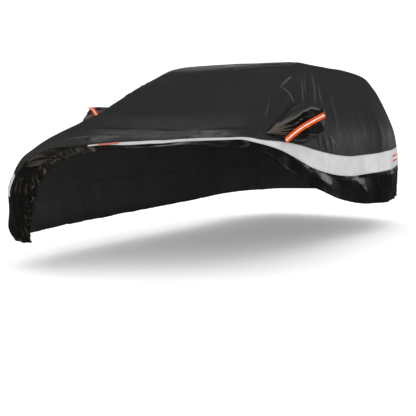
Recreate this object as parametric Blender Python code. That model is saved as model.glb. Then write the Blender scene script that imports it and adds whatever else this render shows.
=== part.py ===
"""Fitted outdoor cover in the shape it has when worn, with its front left corner lifted.

Metres, +Z up. x runs across (+x is the cover's left), y runs along (the nose is at -y), and
every height below is over the ground that the cover hangs above. The model's origin is under
the middle of the cover's top, where it is held up.

The cloth follows one smooth form. Each panel is a grid of points on that form between named
edge lines, raised by the main folds and given its thickness inwards. Neighbours share the
points of their seam, and each stands back from it by half of SEAM_GAP.
"""

import math

import bpy
import numpy as np

# ---------------------------------------------------------------- driving dimensions

THICKNESS = 0.0025
SEAM_GAP = 0.0003
LEFT, RIGHT = 1, -1

# The form: an upright outline along the middle, a plan outline, and the slopes between them.
PROFILE = (  # along, height of the middle of the top
    (-2.60, 0.200), (-2.20, 0.600), (-2.10, 0.680), (-1.95, 0.750), (-1.70, 0.847),
    (-1.40, 0.953), (-1.15, 1.030), (-1.00, 1.076), (-0.80, 1.180), (-0.45, 1.383),
    (-0.20, 1.506), (0.00, 1.534), (0.35, 1.527), (0.80, 1.515), (1.20, 1.481),
    (1.55, 1.417), (1.78, 1.343), (1.95, 1.127), (2.06, 0.976), (2.14, 0.817), (2.30, 0.400),
)
PLAN = (  # along, half width at the belt
    (-2.30, 0.620), (-2.00, 0.806), (-1.80, 0.822), (-1.50, 0.909), (-1.00, 0.941),
    (0.60, 0.910), (1.20, 0.955), (1.60, 0.882), (1.90, 0.819), (2.10, 0.812), (2.30, 0.650),
)
EDGE_RISE_AT = 0.60  # away from its middle the top rises a little,
EDGE_RISE = (  # along, rise at this distance from the middle
    (-2.60, 0.017), (-1.50, 0.017), (-0.80, 0.024), (-0.15, -0.004), (0.45, 0.008),
    (1.20, 0.024), (2.30, 0.017),
)
EDGE_DROP, EDGE_DROP_AT = 0.020, 0.75  # and then falls to its sides
BELT_HEIGHT, BELT_SOFTNESS = 0.94, 0.06
UPPER_LEAN = 0.48  # how the sides lean in over the belt
FLANK_LEAN, FLANK_LEAN_FROM = 0.03, 0.62
TUCK, TUCK_POWER, TUCK_BELOW = 0.08, 1.5, 0.50
FLARE, FLARE_BELOW = 0.07, 0.66  # how the nose widens towards the ground
FLARE_FROM, FLARE_TO = -1.30, -1.80
HEM_TUCK, HEM_TUCK_BELOW = 4.0, 0.30  # how the low hem turns in under its own pull
END_CURVE, END_CURVE_AT = 0.088, 0.80  # how the nose curves back to its corners
TAIL_CURVE = 0.085
NOSE, NOSE_RAKE, NOSE_RAKE_POWER, NOSE_RAKE_FROM = -2.161, 0.760, 1.28, 0.54
TAIL, TAIL_RAKE, TAIL_RAKE_FROM = 2.152, 0.446, 0.70
EDGE_ROUNDING = 0.030
TOP_SLOPE, SIDE_SLOPE = 0.90, 0.93  # a distance along a slope, as a share of the upright one

HOLD_ALONG = 0.30

# ---------------------------------------------------------------- edge lines

# A side has stations 0 (front end of its band) to LAST (rear end), and SEAM_START is where the
# lifted side's top seam leaves the band. A line's rows are station, across, along, height:
# across is given for the left and changes sign on the right, and the point is then set on
# the form.
LAST = 56
SEAM_START = 16

TOP_SEAM = (  # from the foot of the front slope along the top's edge to the rear corner
    (16, 0.893, -1.330, 0.900), (18, 0.855, -1.200, 0.990), (20, 0.790, -1.030, 1.065),
    (22, 0.740, -0.860, 1.155), (24, 0.695, -0.700, 1.245), (26, 0.668, -0.530, 1.345),
    (27, 0.672, -0.440, 1.376), (29, 0.674, -0.270, 1.408), (33, 0.660, 0.100, 1.430),
    (37, 0.645, 0.480, 1.446), (41, 0.660, 0.860, 1.444), (45, 0.700, 1.230, 1.390),
    (48, 0.715, 1.500, 1.335), (51, 0.735, 1.760, 1.210), (53, 0.760, 1.870, 1.060),
    (55, 0.785, 1.905, 0.880), (56, 0.790, 1.900, 0.790),
)
LIFTED_BAND_TOP = (
    (0, -0.310, -1.670, 0.862), (4, 0.027, -1.590, 0.887), (9, 0.447, -1.559, 0.907),
    (13, 0.760, -1.520, 0.916), (16, 0.893, -1.330, 0.900), (19, 0.922, -1.090, 0.888),
    (23, 0.925, -0.770, 0.857), (27, 0.923, -0.450, 0.810), (33, 0.913, 0.030, 0.759),
    (37, 0.907, 0.350, 0.743), (43, 0.915, 0.830, 0.750), (48, 0.948, 1.230, 0.774),
    (52, 0.910, 1.550, 0.785), (56, 0.790, 1.900, 0.790),
)
LIFTED_BAND_BOTTOM = (
    (0, -0.288, -1.700, 0.852), (5, 0.071, -1.648, 0.866), (9, 0.450, -1.612, 0.890),
    (13, 0.745, -1.570, 0.906), (16, 0.893, -1.400, 0.883), (19, 0.928, -1.120, 0.833),
    (22, 0.934, -0.890, 0.773), (25, 0.934, -0.640, 0.700), (28, 0.928, -0.380, 0.648),
    (34, 0.916, 0.110, 0.587), (38, 0.910, 0.430, 0.571), (44, 0.930, 0.910, 0.577),
    (48, 0.945, 1.230, 0.588), (52, 0.910, 1.560, 0.595), (56, 0.800, 1.900, 0.600),
)
LIFTED_HEM = (
    (0, -0.165, -1.790, 0.815), (3, 0.020, -1.732, 0.834), (6, 0.241, -1.697, 0.851),
    (10, 0.530, -1.685, 0.863), (13, 0.773, -1.655, 0.865), (15, 0.862, -1.560, 0.854),
    (17, 0.901, -1.429, 0.835), (19, 0.920, -1.270, 0.800), (23, 0.938, -0.960, 0.665),
    (29, 0.932, -0.470, 0.514), (36, 0.905, 0.140, 0.381), (43, 0.900, 0.768, 0.300),
    (48, 0.920, 1.230, 0.285), (52, 0.880, 1.570, 0.280), (56, 0.790, 1.900, 0.280),
)
FULL_SEAM_FRONT = (  # on the right the top seam goes on to the front end of the band
    (0, 0.690, -2.040, 0.660), (3, 0.725, -1.940, 0.745), (7, 0.790, -1.740, 0.835),
    (11, 0.845, -1.520, 0.900),
)
FULL_BAND_TOP = (
    (0, 0.690, -2.040, 0.660), (4, 0.800, -1.860, 0.675), (16, 0.925, -1.240, 0.700),
    (28, 0.930, -0.370, 0.725), (40, 0.910, 0.590, 0.752), (48, 0.948, 1.230, 0.774),
    (52, 0.910, 1.550, 0.785), (56, 0.790, 1.900, 0.790),
)
FULL_BAND_BOTTOM = (
    (0, 0.690, -2.045, 0.500), (4, 0.810, -1.870, 0.512), (16, 0.930, -1.240, 0.535),
    (28, 0.930, -0.370, 0.556), (40, 0.910, 0.590, 0.575), (48, 0.945, 1.230, 0.588),
    (52, 0.910, 1.560, 0.595), (56, 0.800, 1.900, 0.600),
)
FULL_HEM = (
    (0, 0.630, -2.005, 0.208), (4, 0.770, -1.860, 0.206), (16, 0.880, -1.240, 0.215),
    (28, 0.900, -0.370, 0.230), (40, 0.890, 0.590, 0.255), (48, 0.920, 1.230, 0.272),
    (52, 0.880, 1.570, 0.278), (56, 0.790, 1.900, 0.280),
)

# The ends have their own stations, from the left side (0) to the right side (ACROSS).
ACROSS = 18
FRONT_TOP = (  # where the top cloth rolls over at the lifted edge
    (0, -0.310, -1.670, 0.862), (3, -0.425, -1.708, 0.853), (7, -0.590, -1.757, 0.837),
    (9, -0.655, -1.805, 0.818), (12, -0.635, -1.900, 0.778), (15, -0.628, -1.985, 0.722),
    (18, -0.690, -2.040, 0.660),
)
FRONT_HEM = (  # down the lifted edge, round the corner of the nose and along its foot
    (0, -0.165, -1.790, 0.815), (3, -0.295, -1.885, 0.780), (5, -0.335, -2.000, 0.730),
    (7, -0.342, -2.085, 0.669), (8, -0.345, -2.135, 0.595), (11, -0.400, -2.133, 0.440),
    (15, -0.470, -2.100, 0.192), (18, -0.630, -2.005, 0.208),
)
REAR_TOP = (
    (0, 0.790, 1.900, 0.790), (4, 0.480, 2.070, 0.795), (9, 0.000, 2.130, 0.800),
    (14, -0.480, 2.070, 0.795), (18, -0.790, 1.900, 0.790),
)
REAR_HEM = (
    (0, 0.790, 1.900, 0.280), (4, 0.480, 2.080, 0.290), (9, 0.000, 2.150, 0.300),
    (14, -0.480, 2.080, 0.290), (18, -0.790, 1.900, 0.280),
)

SIDE_ROWS = 6
BAND_ROWS = 3
SKIRT_ROWS = 3
GATHER = 0.006  # how far the elastic hem's gathers stand in and out

# ---------------------------------------------------------------- main folds

# A fold is a soft ridge (or a trough, where its rise is under zero) between two points.
FOLD_END_SHARE = 0.4  # of its full rise, at each of its ends
FOLDS = (  # start across, along, height; end across, along, height; half width; rise
    # round the top's front left corner and down the upper side
    (0.68, -0.40, 1.385, 0.70, -0.65, 1.275, 0.040, 0.010),
    (0.70, -0.65, 1.275, 0.82, -0.67, 1.145, 0.040, 0.011),
    (0.67, -0.26, 1.415, 0.80, -0.48, 1.170, 0.035, 0.009),
    (0.66, -0.13, 1.440, 0.80, -0.36, 1.180, 0.030, -0.006),
    (0.65, 0.02, 1.455, 0.80, -0.25, 1.170, 0.045, 0.011),
    (0.68, 0.25, 1.390, 0.87, 0.03, 0.990, 0.050, 0.009),
    (0.68, -0.76, 1.220, 0.84, -1.16, 1.005, 0.040, 0.008),
    # down the left flank and beside the pocket
    (0.74, 0.66, 1.265, 0.88, 0.66, 0.950, 0.060, 0.007),
    (0.76, 1.04, 1.290, 0.94, 1.02, 0.800, 0.060, 0.008),
    (0.90, -0.29, 0.925, 0.92, -0.25, 0.810, 0.035, 0.008),
    # along the front edge of the top
    (0.56, -0.29, 1.470, 0.16, -0.33, 1.445, 0.050, 0.010),
    (0.46, -0.21, 1.500, 0.03, -0.25, 1.475, 0.045, -0.006),
    (0.11, -0.12, 1.510, -0.54, -0.23, 1.490, 0.070, 0.008),
    # the roll behind the lifted edge
    (-0.64, -1.60, 0.885, -0.47, -1.455, 0.945, 0.050, 0.014),
    (-0.47, -1.455, 0.945, 0.07, -1.445, 0.940, 0.055, 0.016),
    (0.07, -1.445, 0.940, 0.76, -1.45, 0.940, 0.050, 0.014),
    # the glossy cloth below the left band
    (0.92, 0.04, 0.580, 0.91, 0.59, 0.490, 0.045, 0.011),
    (0.94, -0.88, 0.740, 0.92, -0.19, 0.520, 0.050, 0.009),
    # the right side and the tail
    (-0.68, -0.40, 1.385, -0.80, -0.48, 1.170, 0.045, 0.010),
    (-0.65, 0.02, 1.455, -0.80, -0.25, 1.170, 0.045, 0.010),
    (-0.76, 1.04, 1.290, -0.94, 1.02, 0.800, 0.060, 0.008),
    (-0.92, -0.90, 0.500, -0.88, -0.80, 0.280, 0.060, 0.009),
    (-0.92, 0.60, 0.550, -0.90, 0.70, 0.320, 0.060, 0.009),
    (0.30, 2.10, 0.700, 0.25, 2.12, 0.360, 0.070, 0.009),
    (-0.35, 2.10, 0.700, -0.30, 2.12, 0.360, 0.070, 0.009),
)

# ---------------------------------------------------------------- mirror pockets

POCKET_SIDES = 24
POCKET_FOOT_ALONG, POCKET_FOOT_HEIGHT = -0.68, 1.000
POCKET_FORWARD, POCKET_BACK = 0.55, 0.24
POCKET_UP, POCKET_DOWN = 0.125, 0.130
POCKET_DROOP = 0.07  # how far the foot's front point lies below its middle
POCKET_TAPER, POCKET_TOP_TAPER = 1.6, 2.0  # how slender the foot's front half is
POCKET_TIP = (1.030, -0.722, 1.045)
POCKET_TIP_LONG, POCKET_TIP_TALL = 0.142, 0.114  # half sizes of its outer end
POCKET_TIP_SQUARE = 0.6  # 1 makes its outline an ellipse, and less squares it
POCKET_TIP_ROUND = 0.022
POCKET_FACE_SIZE, POCKET_FACE_BACK = 0.75, 0.25  # where the rounding meets the outer face
POCKET_TIP_TURN = 0.12  # its outer end stands out more at the back
POCKET_RING_SHARES = (0.25, 0.50, 0.75)  # of the way from the foot to the outer end
POCKET_PLEATS, POCKET_PLEAT_RISE = 6, 0.006
POCKET_WALL_BELOW, POCKET_WALL_ABOVE = 0.004, 0.001
HOLE_FROM, HOLE_TO = 0.60, 1.15  # across, where the hole's cutter starts and ends

TAPE_THICKNESS = 0.001
TAPE_LIFT = 0.0004  # over the cloth
TAPE_MARGIN = 0.001
STRIP_WIDTH = 0.042
STRIP_REACH = (-0.05, 0.15)  # in and out of the straight line between its ends
STRIPS = {  # low end, high end and the way it faces: the far pocket's runs over its top
    LEFT: ((0.938, -1.035, 0.900), (1.030, -0.590, 1.085), (0.80, -0.60, 0.00)),
    RIGHT: ((0.800, -0.914, 1.058), (1.045, -0.806, 1.180), (-0.28, -0.30, 0.91)),
}

BAND_MARKS = (  # name, side, first station, last station
    ("band_mark_front_left", LEFT, 1, 3),
    ("band_mark_rear_left", LEFT, 50, 55),
    ("band_mark_front_right", RIGHT, 1, 5),
    ("band_mark_rear_right", RIGHT, 50, 55),
)

# ---------------------------------------------------------------- finishes

SHARP_FROM = math.radians(40)
FINISHES = {  # base colour, roughness
    "charcoal_cloth": ((0.031, 0.031, 0.033, 1.0), 0.85),
    "gloss_black_cloth": ((0.010, 0.009, 0.009, 1.0), 0.30),
    "silver_reflective": ((0.640, 0.640, 0.645, 1.0), 0.45),
    "orange_tape": ((0.790, 0.110, 0.030, 1.0), 0.50),
}


def smooth_through(table, at):
    """Values of a table's columns at these places, by monotone cubic interpolation."""
    rows = np.array(table, float)
    knots, values = rows[:, 0], rows[:, 1:]
    step = np.diff(knots)[:, None]
    slope = np.diff(values, axis=0) / step
    inner = slope[:-1] * slope[1:] > 0
    before, after = step[:-1], step[1:]
    weight_a, weight_b = 2 * after + before, after + 2 * before
    with np.errstate(divide="ignore", invalid="ignore"):
        mean = (weight_a + weight_b) / (weight_a / slope[:-1] + weight_b / slope[1:])
    tangent = np.vstack([slope[:1], np.where(inner, mean, 0.0), slope[-1:]])
    at = np.asarray(at, float)
    part = np.clip(np.searchsorted(knots, at, side="right") - 1, 0, len(knots) - 2)
    width = step[part]
    t = ((at - knots[part])[..., None]) / width
    return (
        values[part] * (2 * t**3 - 3 * t**2 + 1)
        + values[part + 1] * (3 * t**2 - 2 * t**3)
        + tangent[part] * width * (t**3 - 2 * t**2 + t)
        + tangent[part + 1] * width * (t**3 - t**2)
    )


def hem_tuck(height):
    """How far the cloth near a low hem is drawn in."""
    return HEM_TUCK * np.maximum(0, HEM_TUCK_BELOW - height) ** 2


def half_width(along, height):
    """Half of the form's width at this place and height."""
    belt = smooth_through(PLAN, along)[..., 0]
    over_belt = np.clip((height - BELT_HEIGHT) / BELT_SOFTNESS, -30, 30)
    upper = UPPER_LEAN * BELT_SOFTNESS * np.log1p(np.exp(over_belt))
    flank = FLANK_LEAN * np.maximum(0, height - FLANK_LEAN_FROM)
    tuck = TUCK * np.maximum(0, TUCK_BELOW - height) ** TUCK_POWER
    ahead = np.clip((FLARE_FROM - along) / (FLARE_FROM - FLARE_TO), 0, 1)
    flare = FLARE * ahead * np.maximum(0, FLARE_BELOW - height)
    return belt - upper - flank - tuck + flare - hem_tuck(height)


def outside(points):
    """Under zero inside the form, zero on it, and about the distance in metres outside."""
    across, along, height = np.abs(points[..., 0]), points[..., 1], points[..., 2]
    edge_rise = smooth_through(EDGE_RISE, along)[..., 0]
    crown = edge_rise * (across / EDGE_RISE_AT) ** 2 - EDGE_DROP * (across / EDGE_DROP_AT) ** 6
    top = smooth_through(PROFILE, along)[..., 0] + crown
    corner = (across / END_CURVE_AT) ** 2 + (across / END_CURVE_AT) ** 6
    nose_rake = NOSE_RAKE * np.maximum(0, height - NOSE_RAKE_FROM) ** NOSE_RAKE_POWER
    tail_rake = TAIL_RAKE * np.maximum(0, height - TAIL_RAKE_FROM)
    limits = np.stack([
        TOP_SLOPE * (height - top),
        SIDE_SLOPE * (across - half_width(along, height)),
        NOSE + END_CURVE * corner + nose_rake + hem_tuck(height) - along,
        along - (TAIL - TAIL_CURVE * corner - tail_rake),
    ])
    most = limits.max(0)
    return most + EDGE_ROUNDING * np.log(np.exp((limits - most) / EDGE_ROUNDING).sum(0))


def outward(points):
    """The form's outward direction at each point, and how fast it changes there."""
    step = 1e-4
    change = [
        (outside(points + step * axis) - outside(points - step * axis)) / (2 * step)
        for axis in np.eye(3)
    ]
    change = np.stack(change, -1)
    rate = np.linalg.norm(change, axis=-1, keepdims=True)
    return change / rate, rate


def onto_form(points):
    """The points moved straight in or out onto the form."""
    points = np.array(points, float)
    for _ in range(8):
        direction, rate = outward(points)
        points -= direction * outside(points)[..., None] / rate
    return points


def fold_rise(points):
    """How far the folds stand out of the form at each point."""
    rise = np.zeros(points.shape[:-1])
    for row in FOLDS:
        start, end, width, height = np.array(row[:3]), np.array(row[3:6]), row[6], row[7]
        run = end - start
        share = np.clip(((points - start) @ run) / (run @ run), 0, 1)
        gap = np.linalg.norm(points - start - share[..., None] * run, axis=-1)
        swell = FOLD_END_SHARE + (1 - FOLD_END_SHARE) * np.sin(math.pi * share)
        rise += height * swell * np.exp(-((gap / width) ** 2))
    return rise


def line(table, side=LEFT, first=0, last=LAST):
    """The points of an edge line at its whole stations, on the form."""
    points = smooth_through(table, np.arange(first, last + 1))
    return onto_form(points * (side, 1, 1))


def between(start, end, rows):
    """Lines from start to end, one for each row, as points on the form."""
    share = np.linspace(0, 1, rows + 1)[:, None, None]
    return onto_form(start + (end - start) * share)


def fill(top, bottom, left, right):
    """A grid of points on the form inside four edges; left and right run from top to bottom."""
    down = np.linspace(0, 1, len(left))[:, None, None]
    over = np.linspace(0, 1, len(top))[None, :, None]
    sides = left[:, None] * (1 - over) + right[:, None] * over
    ends = top[None] * (1 - down) + bottom[None] * down
    corners_left = top[0] * (1 - down) + bottom[0] * down
    corners_right = top[-1] * (1 - down) + bottom[-1] * down
    corners = corners_left * (1 - over) + corners_right * over
    grid = onto_form(sides + ends - corners)
    grid[0], grid[-1], grid[:, 0], grid[:, -1] = top, bottom, left, right
    return grid


def triangles_of(grid, facing):
    """A grid's corners and its triangles, wound so that they face this way.

    An edge whose points all meet becomes one corner, and a grid whose first and last columns
    meet is closed round.
    """
    rows, columns = grid.shape[:2]
    index = np.arange(rows * columns).reshape(rows, columns)
    if np.allclose(grid[:, 0], grid[:, -1], atol=1e-7):
        index[:, -1] = index[:, 0]
    for edge in (index[0], index[-1], index[:, 0], index[:, -1]):
        if np.ptp(grid.reshape(-1, 3)[edge], axis=0).max() < 1e-7:
            edge[:] = edge[0]
    points = grid.reshape(-1, 3)
    faces = []
    for row in range(rows - 1):
        for column in range(columns - 1):
            a, b = index[row, column], index[row, column + 1]
            d, c = index[row + 1, column], index[row + 1, column + 1]
            short_ac = np.linalg.norm(points[a] - points[c]) < np.linalg.norm(points[b] - points[d])
            pair = ((a, b, c), (a, c, d)) if short_ac else ((a, b, d), (b, c, d))
            faces += [face for face in pair if len(set(face)) == 3]
    faces = np.array(faces)
    middle = faces[len(faces) // 2]
    turn = np.cross(points[middle[1]] - points[middle[0]], points[middle[2]] - points[middle[0]])
    if turn @ facing(points[middle[:1]])[0] < 0:
        faces = faces[:, ::-1]
    used, faces = np.unique(faces, return_inverse=True)
    return used, faces.reshape(-1, 3)


def edge_of(faces):
    """The edge's corners as {corner: (the one before, the one after)}, cloth on the left."""
    links = {(face[i], face[(i + 1) % 3]) for face in faces.tolist() for i in range(3)}
    loose = [link for link in links if link[::-1] not in links]
    after = dict(loose)
    before = {end: start for start, end in loose}
    return {corner: (before[corner], after[corner]) for corner in sorted(after)}


def stand_back(points, normals, edge, distance):
    """The points, with those on the edge moved into the cloth by this distance."""
    moved = points.copy()
    for corner, (before, after) in edge.items():
        inward = []
        for run in (points[corner] - points[before], points[after] - points[corner]):
            across = np.cross(normals[corner], run)
            inward.append(across / np.linalg.norm(across))
        moved[corner] += distance * (inward[0] + inward[1]) / (1 + inward[0] @ inward[1])
    return moved


def make_object(name, points, faces, finish):
    """A mesh object at the model's origin, with its finish."""
    mesh = bpy.data.meshes.new(name)
    mesh.from_pydata((points - ORIGIN).tolist(), [], [list(face) for face in faces])
    if finish is not None:
        mesh.shade_smooth()
        mesh.set_sharp_from_angle(angle=SHARP_FROM)
        mesh.materials.append(finish)
    thing = bpy.data.objects.new(name, mesh)
    bpy.context.scene.collection.objects.link(thing)
    return thing


# Neighbours meet along twisted strips, so both split each strip by the same diagonal: this
# direction tells them which of its ends comes first.
RIM_ORDER = np.array([0.31, 0.90, 0.17])


def close_sheet(name, outer, inner, faces, finish):
    """A closed sheet with these two faces, joined along its edge."""
    count = len(outer)
    rim = []
    for corner, (_, after) in edge_of(faces).items():
        under, under_after = count + corner, count + after
        if (outer[after] - outer[corner]) @ RIM_ORDER > 0:
            rim += [(corner, under, under_after), (corner, under_after, after)]
        else:
            rim += [(corner, under, after), (under, under_after, after)]
    everything = np.vstack([faces, count + faces[:, ::-1], rim])
    return make_object(name, np.vstack([outer, inner]), everything.tolist(), finish)


def form_facing(points):
    """The form's outward direction alone."""
    return outward(points)[0]


def panel(name, grid, finish, rise=None):
    """A piece of cloth over a grid of points on the form."""
    used, faces = triangles_of(grid, form_facing)
    points = grid.reshape(-1, 3)[used]
    normals = form_facing(points)
    lift = fold_rise(points)
    if rise is not None:
        lift += rise.reshape(-1)[used]
    outer = points + normals * lift[:, None]
    outer = stand_back(outer, normals, edge_of(faces), SEAM_GAP / 2)
    return close_sheet(name, outer, outer - normals * THICKNESS, faces, finish)


def tape_on_panel(name, grid, finish):
    """A flat tape over part of a panel's grid, just clear of its cloth."""
    used, faces = triangles_of(grid, form_facing)
    points = grid.reshape(-1, 3)[used]
    normals = form_facing(points)
    inner = points + normals * (fold_rise(points) + TAPE_LIFT)[:, None]
    inner = stand_back(inner, normals, edge_of(faces), TAPE_MARGIN)
    return close_sheet(name, inner + normals * TAPE_THICKNESS, inner, faces, finish)


def gathers(rows, columns):
    """In and out by turns along the last rows of a grid, and none on its other edges."""
    down = (np.arange(rows) / (rows - 1)) ** 2
    along = np.where(np.arange(columns) % 2 == 0, 1.0, -1.0)
    along[0] = along[-1] = 0.0
    return GATHER * down[:, None] * along[None, :]


def across_at(along, height):
    """How far out the form's left side is at these places."""
    near, far = np.zeros_like(along), np.full_like(along, 1.3)
    for _ in range(40):
        middle = (near + far) / 2
        inside = outside(np.stack([middle, along, height], -1)) < 0
        near, far = np.where(inside, middle, near), np.where(inside, far, middle)
    return (near + far) / 2


def signed_power(value, power):
    """The value's size raised to this power, with its sign kept."""
    return np.sign(value) * np.abs(value) ** power


def tip_ring(angle, size, back):
    """A ring of the pocket's outer end: its size as a share, and how far it lies inwards."""
    along = POCKET_TIP_LONG * size * signed_power(np.cos(angle), POCKET_TIP_SQUARE)
    height = POCKET_TIP_TALL * size * signed_power(np.sin(angle), POCKET_TIP_SQUARE)
    across = POCKET_TIP_TURN * along - back
    return np.stack([across, along, height], -1) + POCKET_TIP


def pocket_rings():
    """The left pocket's rings, from the side panel's inner face out to the middle of its tip."""
    angle = np.linspace(0, 2 * math.pi, POCKET_SIDES + 1)
    c, s = np.cos(angle), np.sin(angle)
    front = c < 0
    along = POCKET_FOOT_ALONG + np.where(
        front, POCKET_FORWARD * signed_power(c, POCKET_TAPER), POCKET_BACK * c
    )
    above = POCKET_UP * np.where(front, signed_power(s, POCKET_TOP_TAPER), s)
    below = POCKET_DOWN * np.where(front, signed_power(s, POCKET_TAPER), s)
    tall = np.where(s > 0, above, below)
    height = POCKET_FOOT_HEIGHT + tall - POCKET_DROOP * np.where(front, c**2, 0)
    foot = np.stack([across_at(along, height), along, height], -1)
    foot += form_facing(foot) * fold_rise(foot)[:, None]

    rim = tip_ring(angle, 1.0, POCKET_TIP_ROUND)
    pleat = np.stack([0 * c, c, s], -1) * np.cos(POCKET_PLEATS * angle)[:, None]
    rings = [foot - (POCKET_WALL_BELOW, 0, 0), foot + (POCKET_WALL_ABOVE, 0, 0)]
    for share in POCKET_RING_SHARES:
        swell = POCKET_PLEAT_RISE * math.sin(math.pi * share)
        rings.append(foot + (rim - foot) * share + pleat * swell)
    face = tip_ring(angle, POCKET_FACE_SIZE, POCKET_FACE_BACK * POCKET_TIP_ROUND)
    return np.array(rings + [rim, face, tip_ring(angle, 0.0, 0.0)])


def facing_of(points, faces):
    """Each corner's direction, from the triangles that meet there."""
    a, b, c = (points[faces[:, i]] for i in range(3))
    turn = np.cross(b - a, c - a)
    total = np.zeros_like(points)
    for i in range(3):
        np.add.at(total, faces[:, i], turn)
    return total / np.linalg.norm(total, axis=1, keepdims=True)


def mirror_pocket(name, side, finish):
    """A pocket's bag, and the points and triangles of its outer face."""
    rings = pocket_rings() * (side, 1, 1)
    used, faces = triangles_of(rings, lambda points: np.array([[0.0, 0.0, 1.0]]))
    points = rings.reshape(-1, 3)[used]
    normals = facing_of(points, faces)
    outwards = normals @ (side, 0, 0)
    if outwards[-1] < 0:
        faces, normals = faces[:, ::-1], -normals
    close_sheet(name, points, points - normals * THICKNESS, faces, finish)
    off_foot = faces[(used[faces] >= rings.shape[1]).all(axis=1)]
    kept, faces = np.unique(off_foot, return_inverse=True)
    return points[kept], normals[kept], faces.reshape(-1, 3)


def pocket_hole(name, side):
    """The cutter for the hole in the side panel that a pocket is sewn into."""
    foot = pocket_rings()[0, :-1]
    outline = np.column_stack([np.zeros(len(foot)), foot[:, 1:]])
    count = len(outline)
    area = np.cross(outline[1] - outline[0], outline[2] - outline[0])[0]
    order = np.arange(count) if area > 0 else np.arange(count)[::-1]
    outline = outline[order]
    ring = {i: ((i - 1) % count, (i + 1) % count) for i in range(count)}
    outline = stand_back(outline, np.tile([1.0, 0, 0], (count, 1)), ring, -SEAM_GAP)
    inner, outer = outline + (HOLE_FROM, 0, 0), outline + (HOLE_TO, 0, 0)
    faces = [tuple(range(count))[::-1], tuple(range(count, 2 * count))]
    faces += [(i, ring[i][1], count + ring[i][1], count + i) for i in range(count)]
    faces = [face[::side] for face in faces]
    cutter = make_object(name, np.vstack([inner, outer]) * (side, 1, 1), faces, None)
    cutter.hide_render = True
    cutter.display_type = "WIRE"
    return cutter


def pocket_strip(name, side, bag, finish):
    """The reflective tape that runs up a pocket from its foot to its outer end."""
    points, normals, faces = bag
    inner = points + normals * TAPE_LIFT
    tape = close_sheet(name, inner + normals * TAPE_THICKNESS, inner, faces, finish)
    low, high, out = np.array(STRIPS[side]) * (side, 1, 1)
    across = np.cross(out, high - low)
    across *= STRIP_WIDTH / 2 / np.linalg.norm(across)
    ring = [low - across, high - across, high + across, low + across]
    corners = [corner + out * depth for depth in STRIP_REACH for corner in ring]
    faces = [(0, 3, 2, 1), (4, 5, 6, 7), (0, 1, 5, 4), (1, 2, 6, 5), (2, 3, 7, 6), (3, 0, 4, 7)]
    cutter = make_object(f"{name}_cutter", np.array(corners), faces, None)
    cutter.hide_render = True
    cutter.display_type = "WIRE"
    cut = tape.modifiers.new("strip", "BOOLEAN")
    cut.operation = "INTERSECT"
    cut.object = cutter


def finish_named(name):
    """A Principled material of this colour and roughness."""
    colour, roughness = FINISHES[name]
    finish = bpy.data.materials.new(name)
    finish.use_nodes = True
    shader = finish.node_tree.nodes["Principled BSDF"]
    shader.inputs["Base Color"].default_value = colour
    shader.inputs["Roughness"].default_value = roughness
    finish.diffuse_color = colour
    return finish


def side_lines(side):
    """One side's top seam, band top, band bottom and hem, by station."""
    if side == LEFT:
        band_top = line(LIFTED_BAND_TOP)
        band_bottom = line(LIFTED_BAND_BOTTOM)
        hem = line(LIFTED_HEM)
        seam = np.vstack([band_top[:SEAM_START], line(TOP_SEAM, LEFT, SEAM_START)])
    else:
        band_top = line(FULL_BAND_TOP, RIGHT)
        band_bottom = line(FULL_BAND_BOTTOM, RIGHT)
        hem = line(FULL_HEM, RIGHT)
        seam = line(FULL_SEAM_FRONT + TOP_SEAM, RIGHT)
    return seam, band_top, band_bottom, hem


def make_side(side, word, finishes):
    """One side's panels; gives the top seam and the two upright ends of its lower cloth."""
    seam, band_top, band_bottom, hem = side_lines(side)
    first = SEAM_START if side == LEFT else 0
    upper = between(seam[first:], band_top[first:], SIDE_ROWS)
    band = between(band_top, band_bottom, BAND_ROWS)
    skirt = between(band_bottom, hem, SKIRT_ROWS)
    side_panel = panel(f"side_panel_{word}", upper, finishes["charcoal_cloth"])
    panel(f"band_{word}", band, finishes["silver_reflective"])
    ripple = gathers(SKIRT_ROWS + 1, LAST + 1)
    panel(f"skirt_{word}", skirt, finishes["gloss_black_cloth"], ripple)

    hole = side_panel.modifiers.new("pocket hole", "BOOLEAN")
    hole.object = pocket_hole(f"pocket_hole_{word}", side)
    bag = mirror_pocket(f"mirror_pocket_{word}", side, finishes["gloss_black_cloth"])
    pocket_strip(f"pocket_strip_{word}", side, bag, finishes["orange_tape"])
    for name, where, start, end in BAND_MARKS:
        if where == side:
            middle_row = band[1:3, start : end + 1]
            tape_on_panel(name, middle_row, finishes["orange_tape"])
    ends = [np.concatenate([band[:, end], skirt[1:, end]]) for end in (0, LAST)]
    return seam, ends[0], ends[1]


def main():
    for thing in list(bpy.data.objects):
        bpy.data.objects.remove(thing)
    finishes = {name: finish_named(name) for name in FINISHES}
    seam_left, front_left, rear_left = make_side(LEFT, "left", finishes)
    seam_right, front_right, rear_right = make_side(RIGHT, "right", finishes)

    front_top = line(FRONT_TOP, LEFT, 0, ACROSS)
    front_hem = line(FRONT_HEM, LEFT, 0, ACROSS)
    rear_top = line(REAR_TOP, LEFT, 0, ACROSS)
    rear_hem = line(REAR_HEM, LEFT, 0, ACROSS)
    top = fill(front_top, rear_top, seam_left, seam_right)
    front = fill(front_top, front_hem, front_left, front_right)
    rear = fill(rear_top, rear_hem, rear_left, rear_right)
    ripple = gathers(BAND_ROWS + SKIRT_ROWS + 1, ACROSS + 1)
    panel("centre_panel", top, finishes["charcoal_cloth"])
    panel("front_panel", front, finishes["gloss_black_cloth"], ripple)
    panel("rear_panel", rear, finishes["gloss_black_cloth"], ripple)


ORIGIN = onto_form([[0.0, HOLD_ALONG, 1.5]])[0] - (0, 0, THICKNESS)

main()
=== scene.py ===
"""Looks of the fitted cover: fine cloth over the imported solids, with its folds, seams and tapes.

Metres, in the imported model's frame. The tables are in ground coordinates, with x across (+x is
the cover's left), y along (the nose is at -y) and z over the ground; ORIGIN brings them into
the frame. The form, its edge lines and its main folds are the solids' own.
"""

import math

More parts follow.
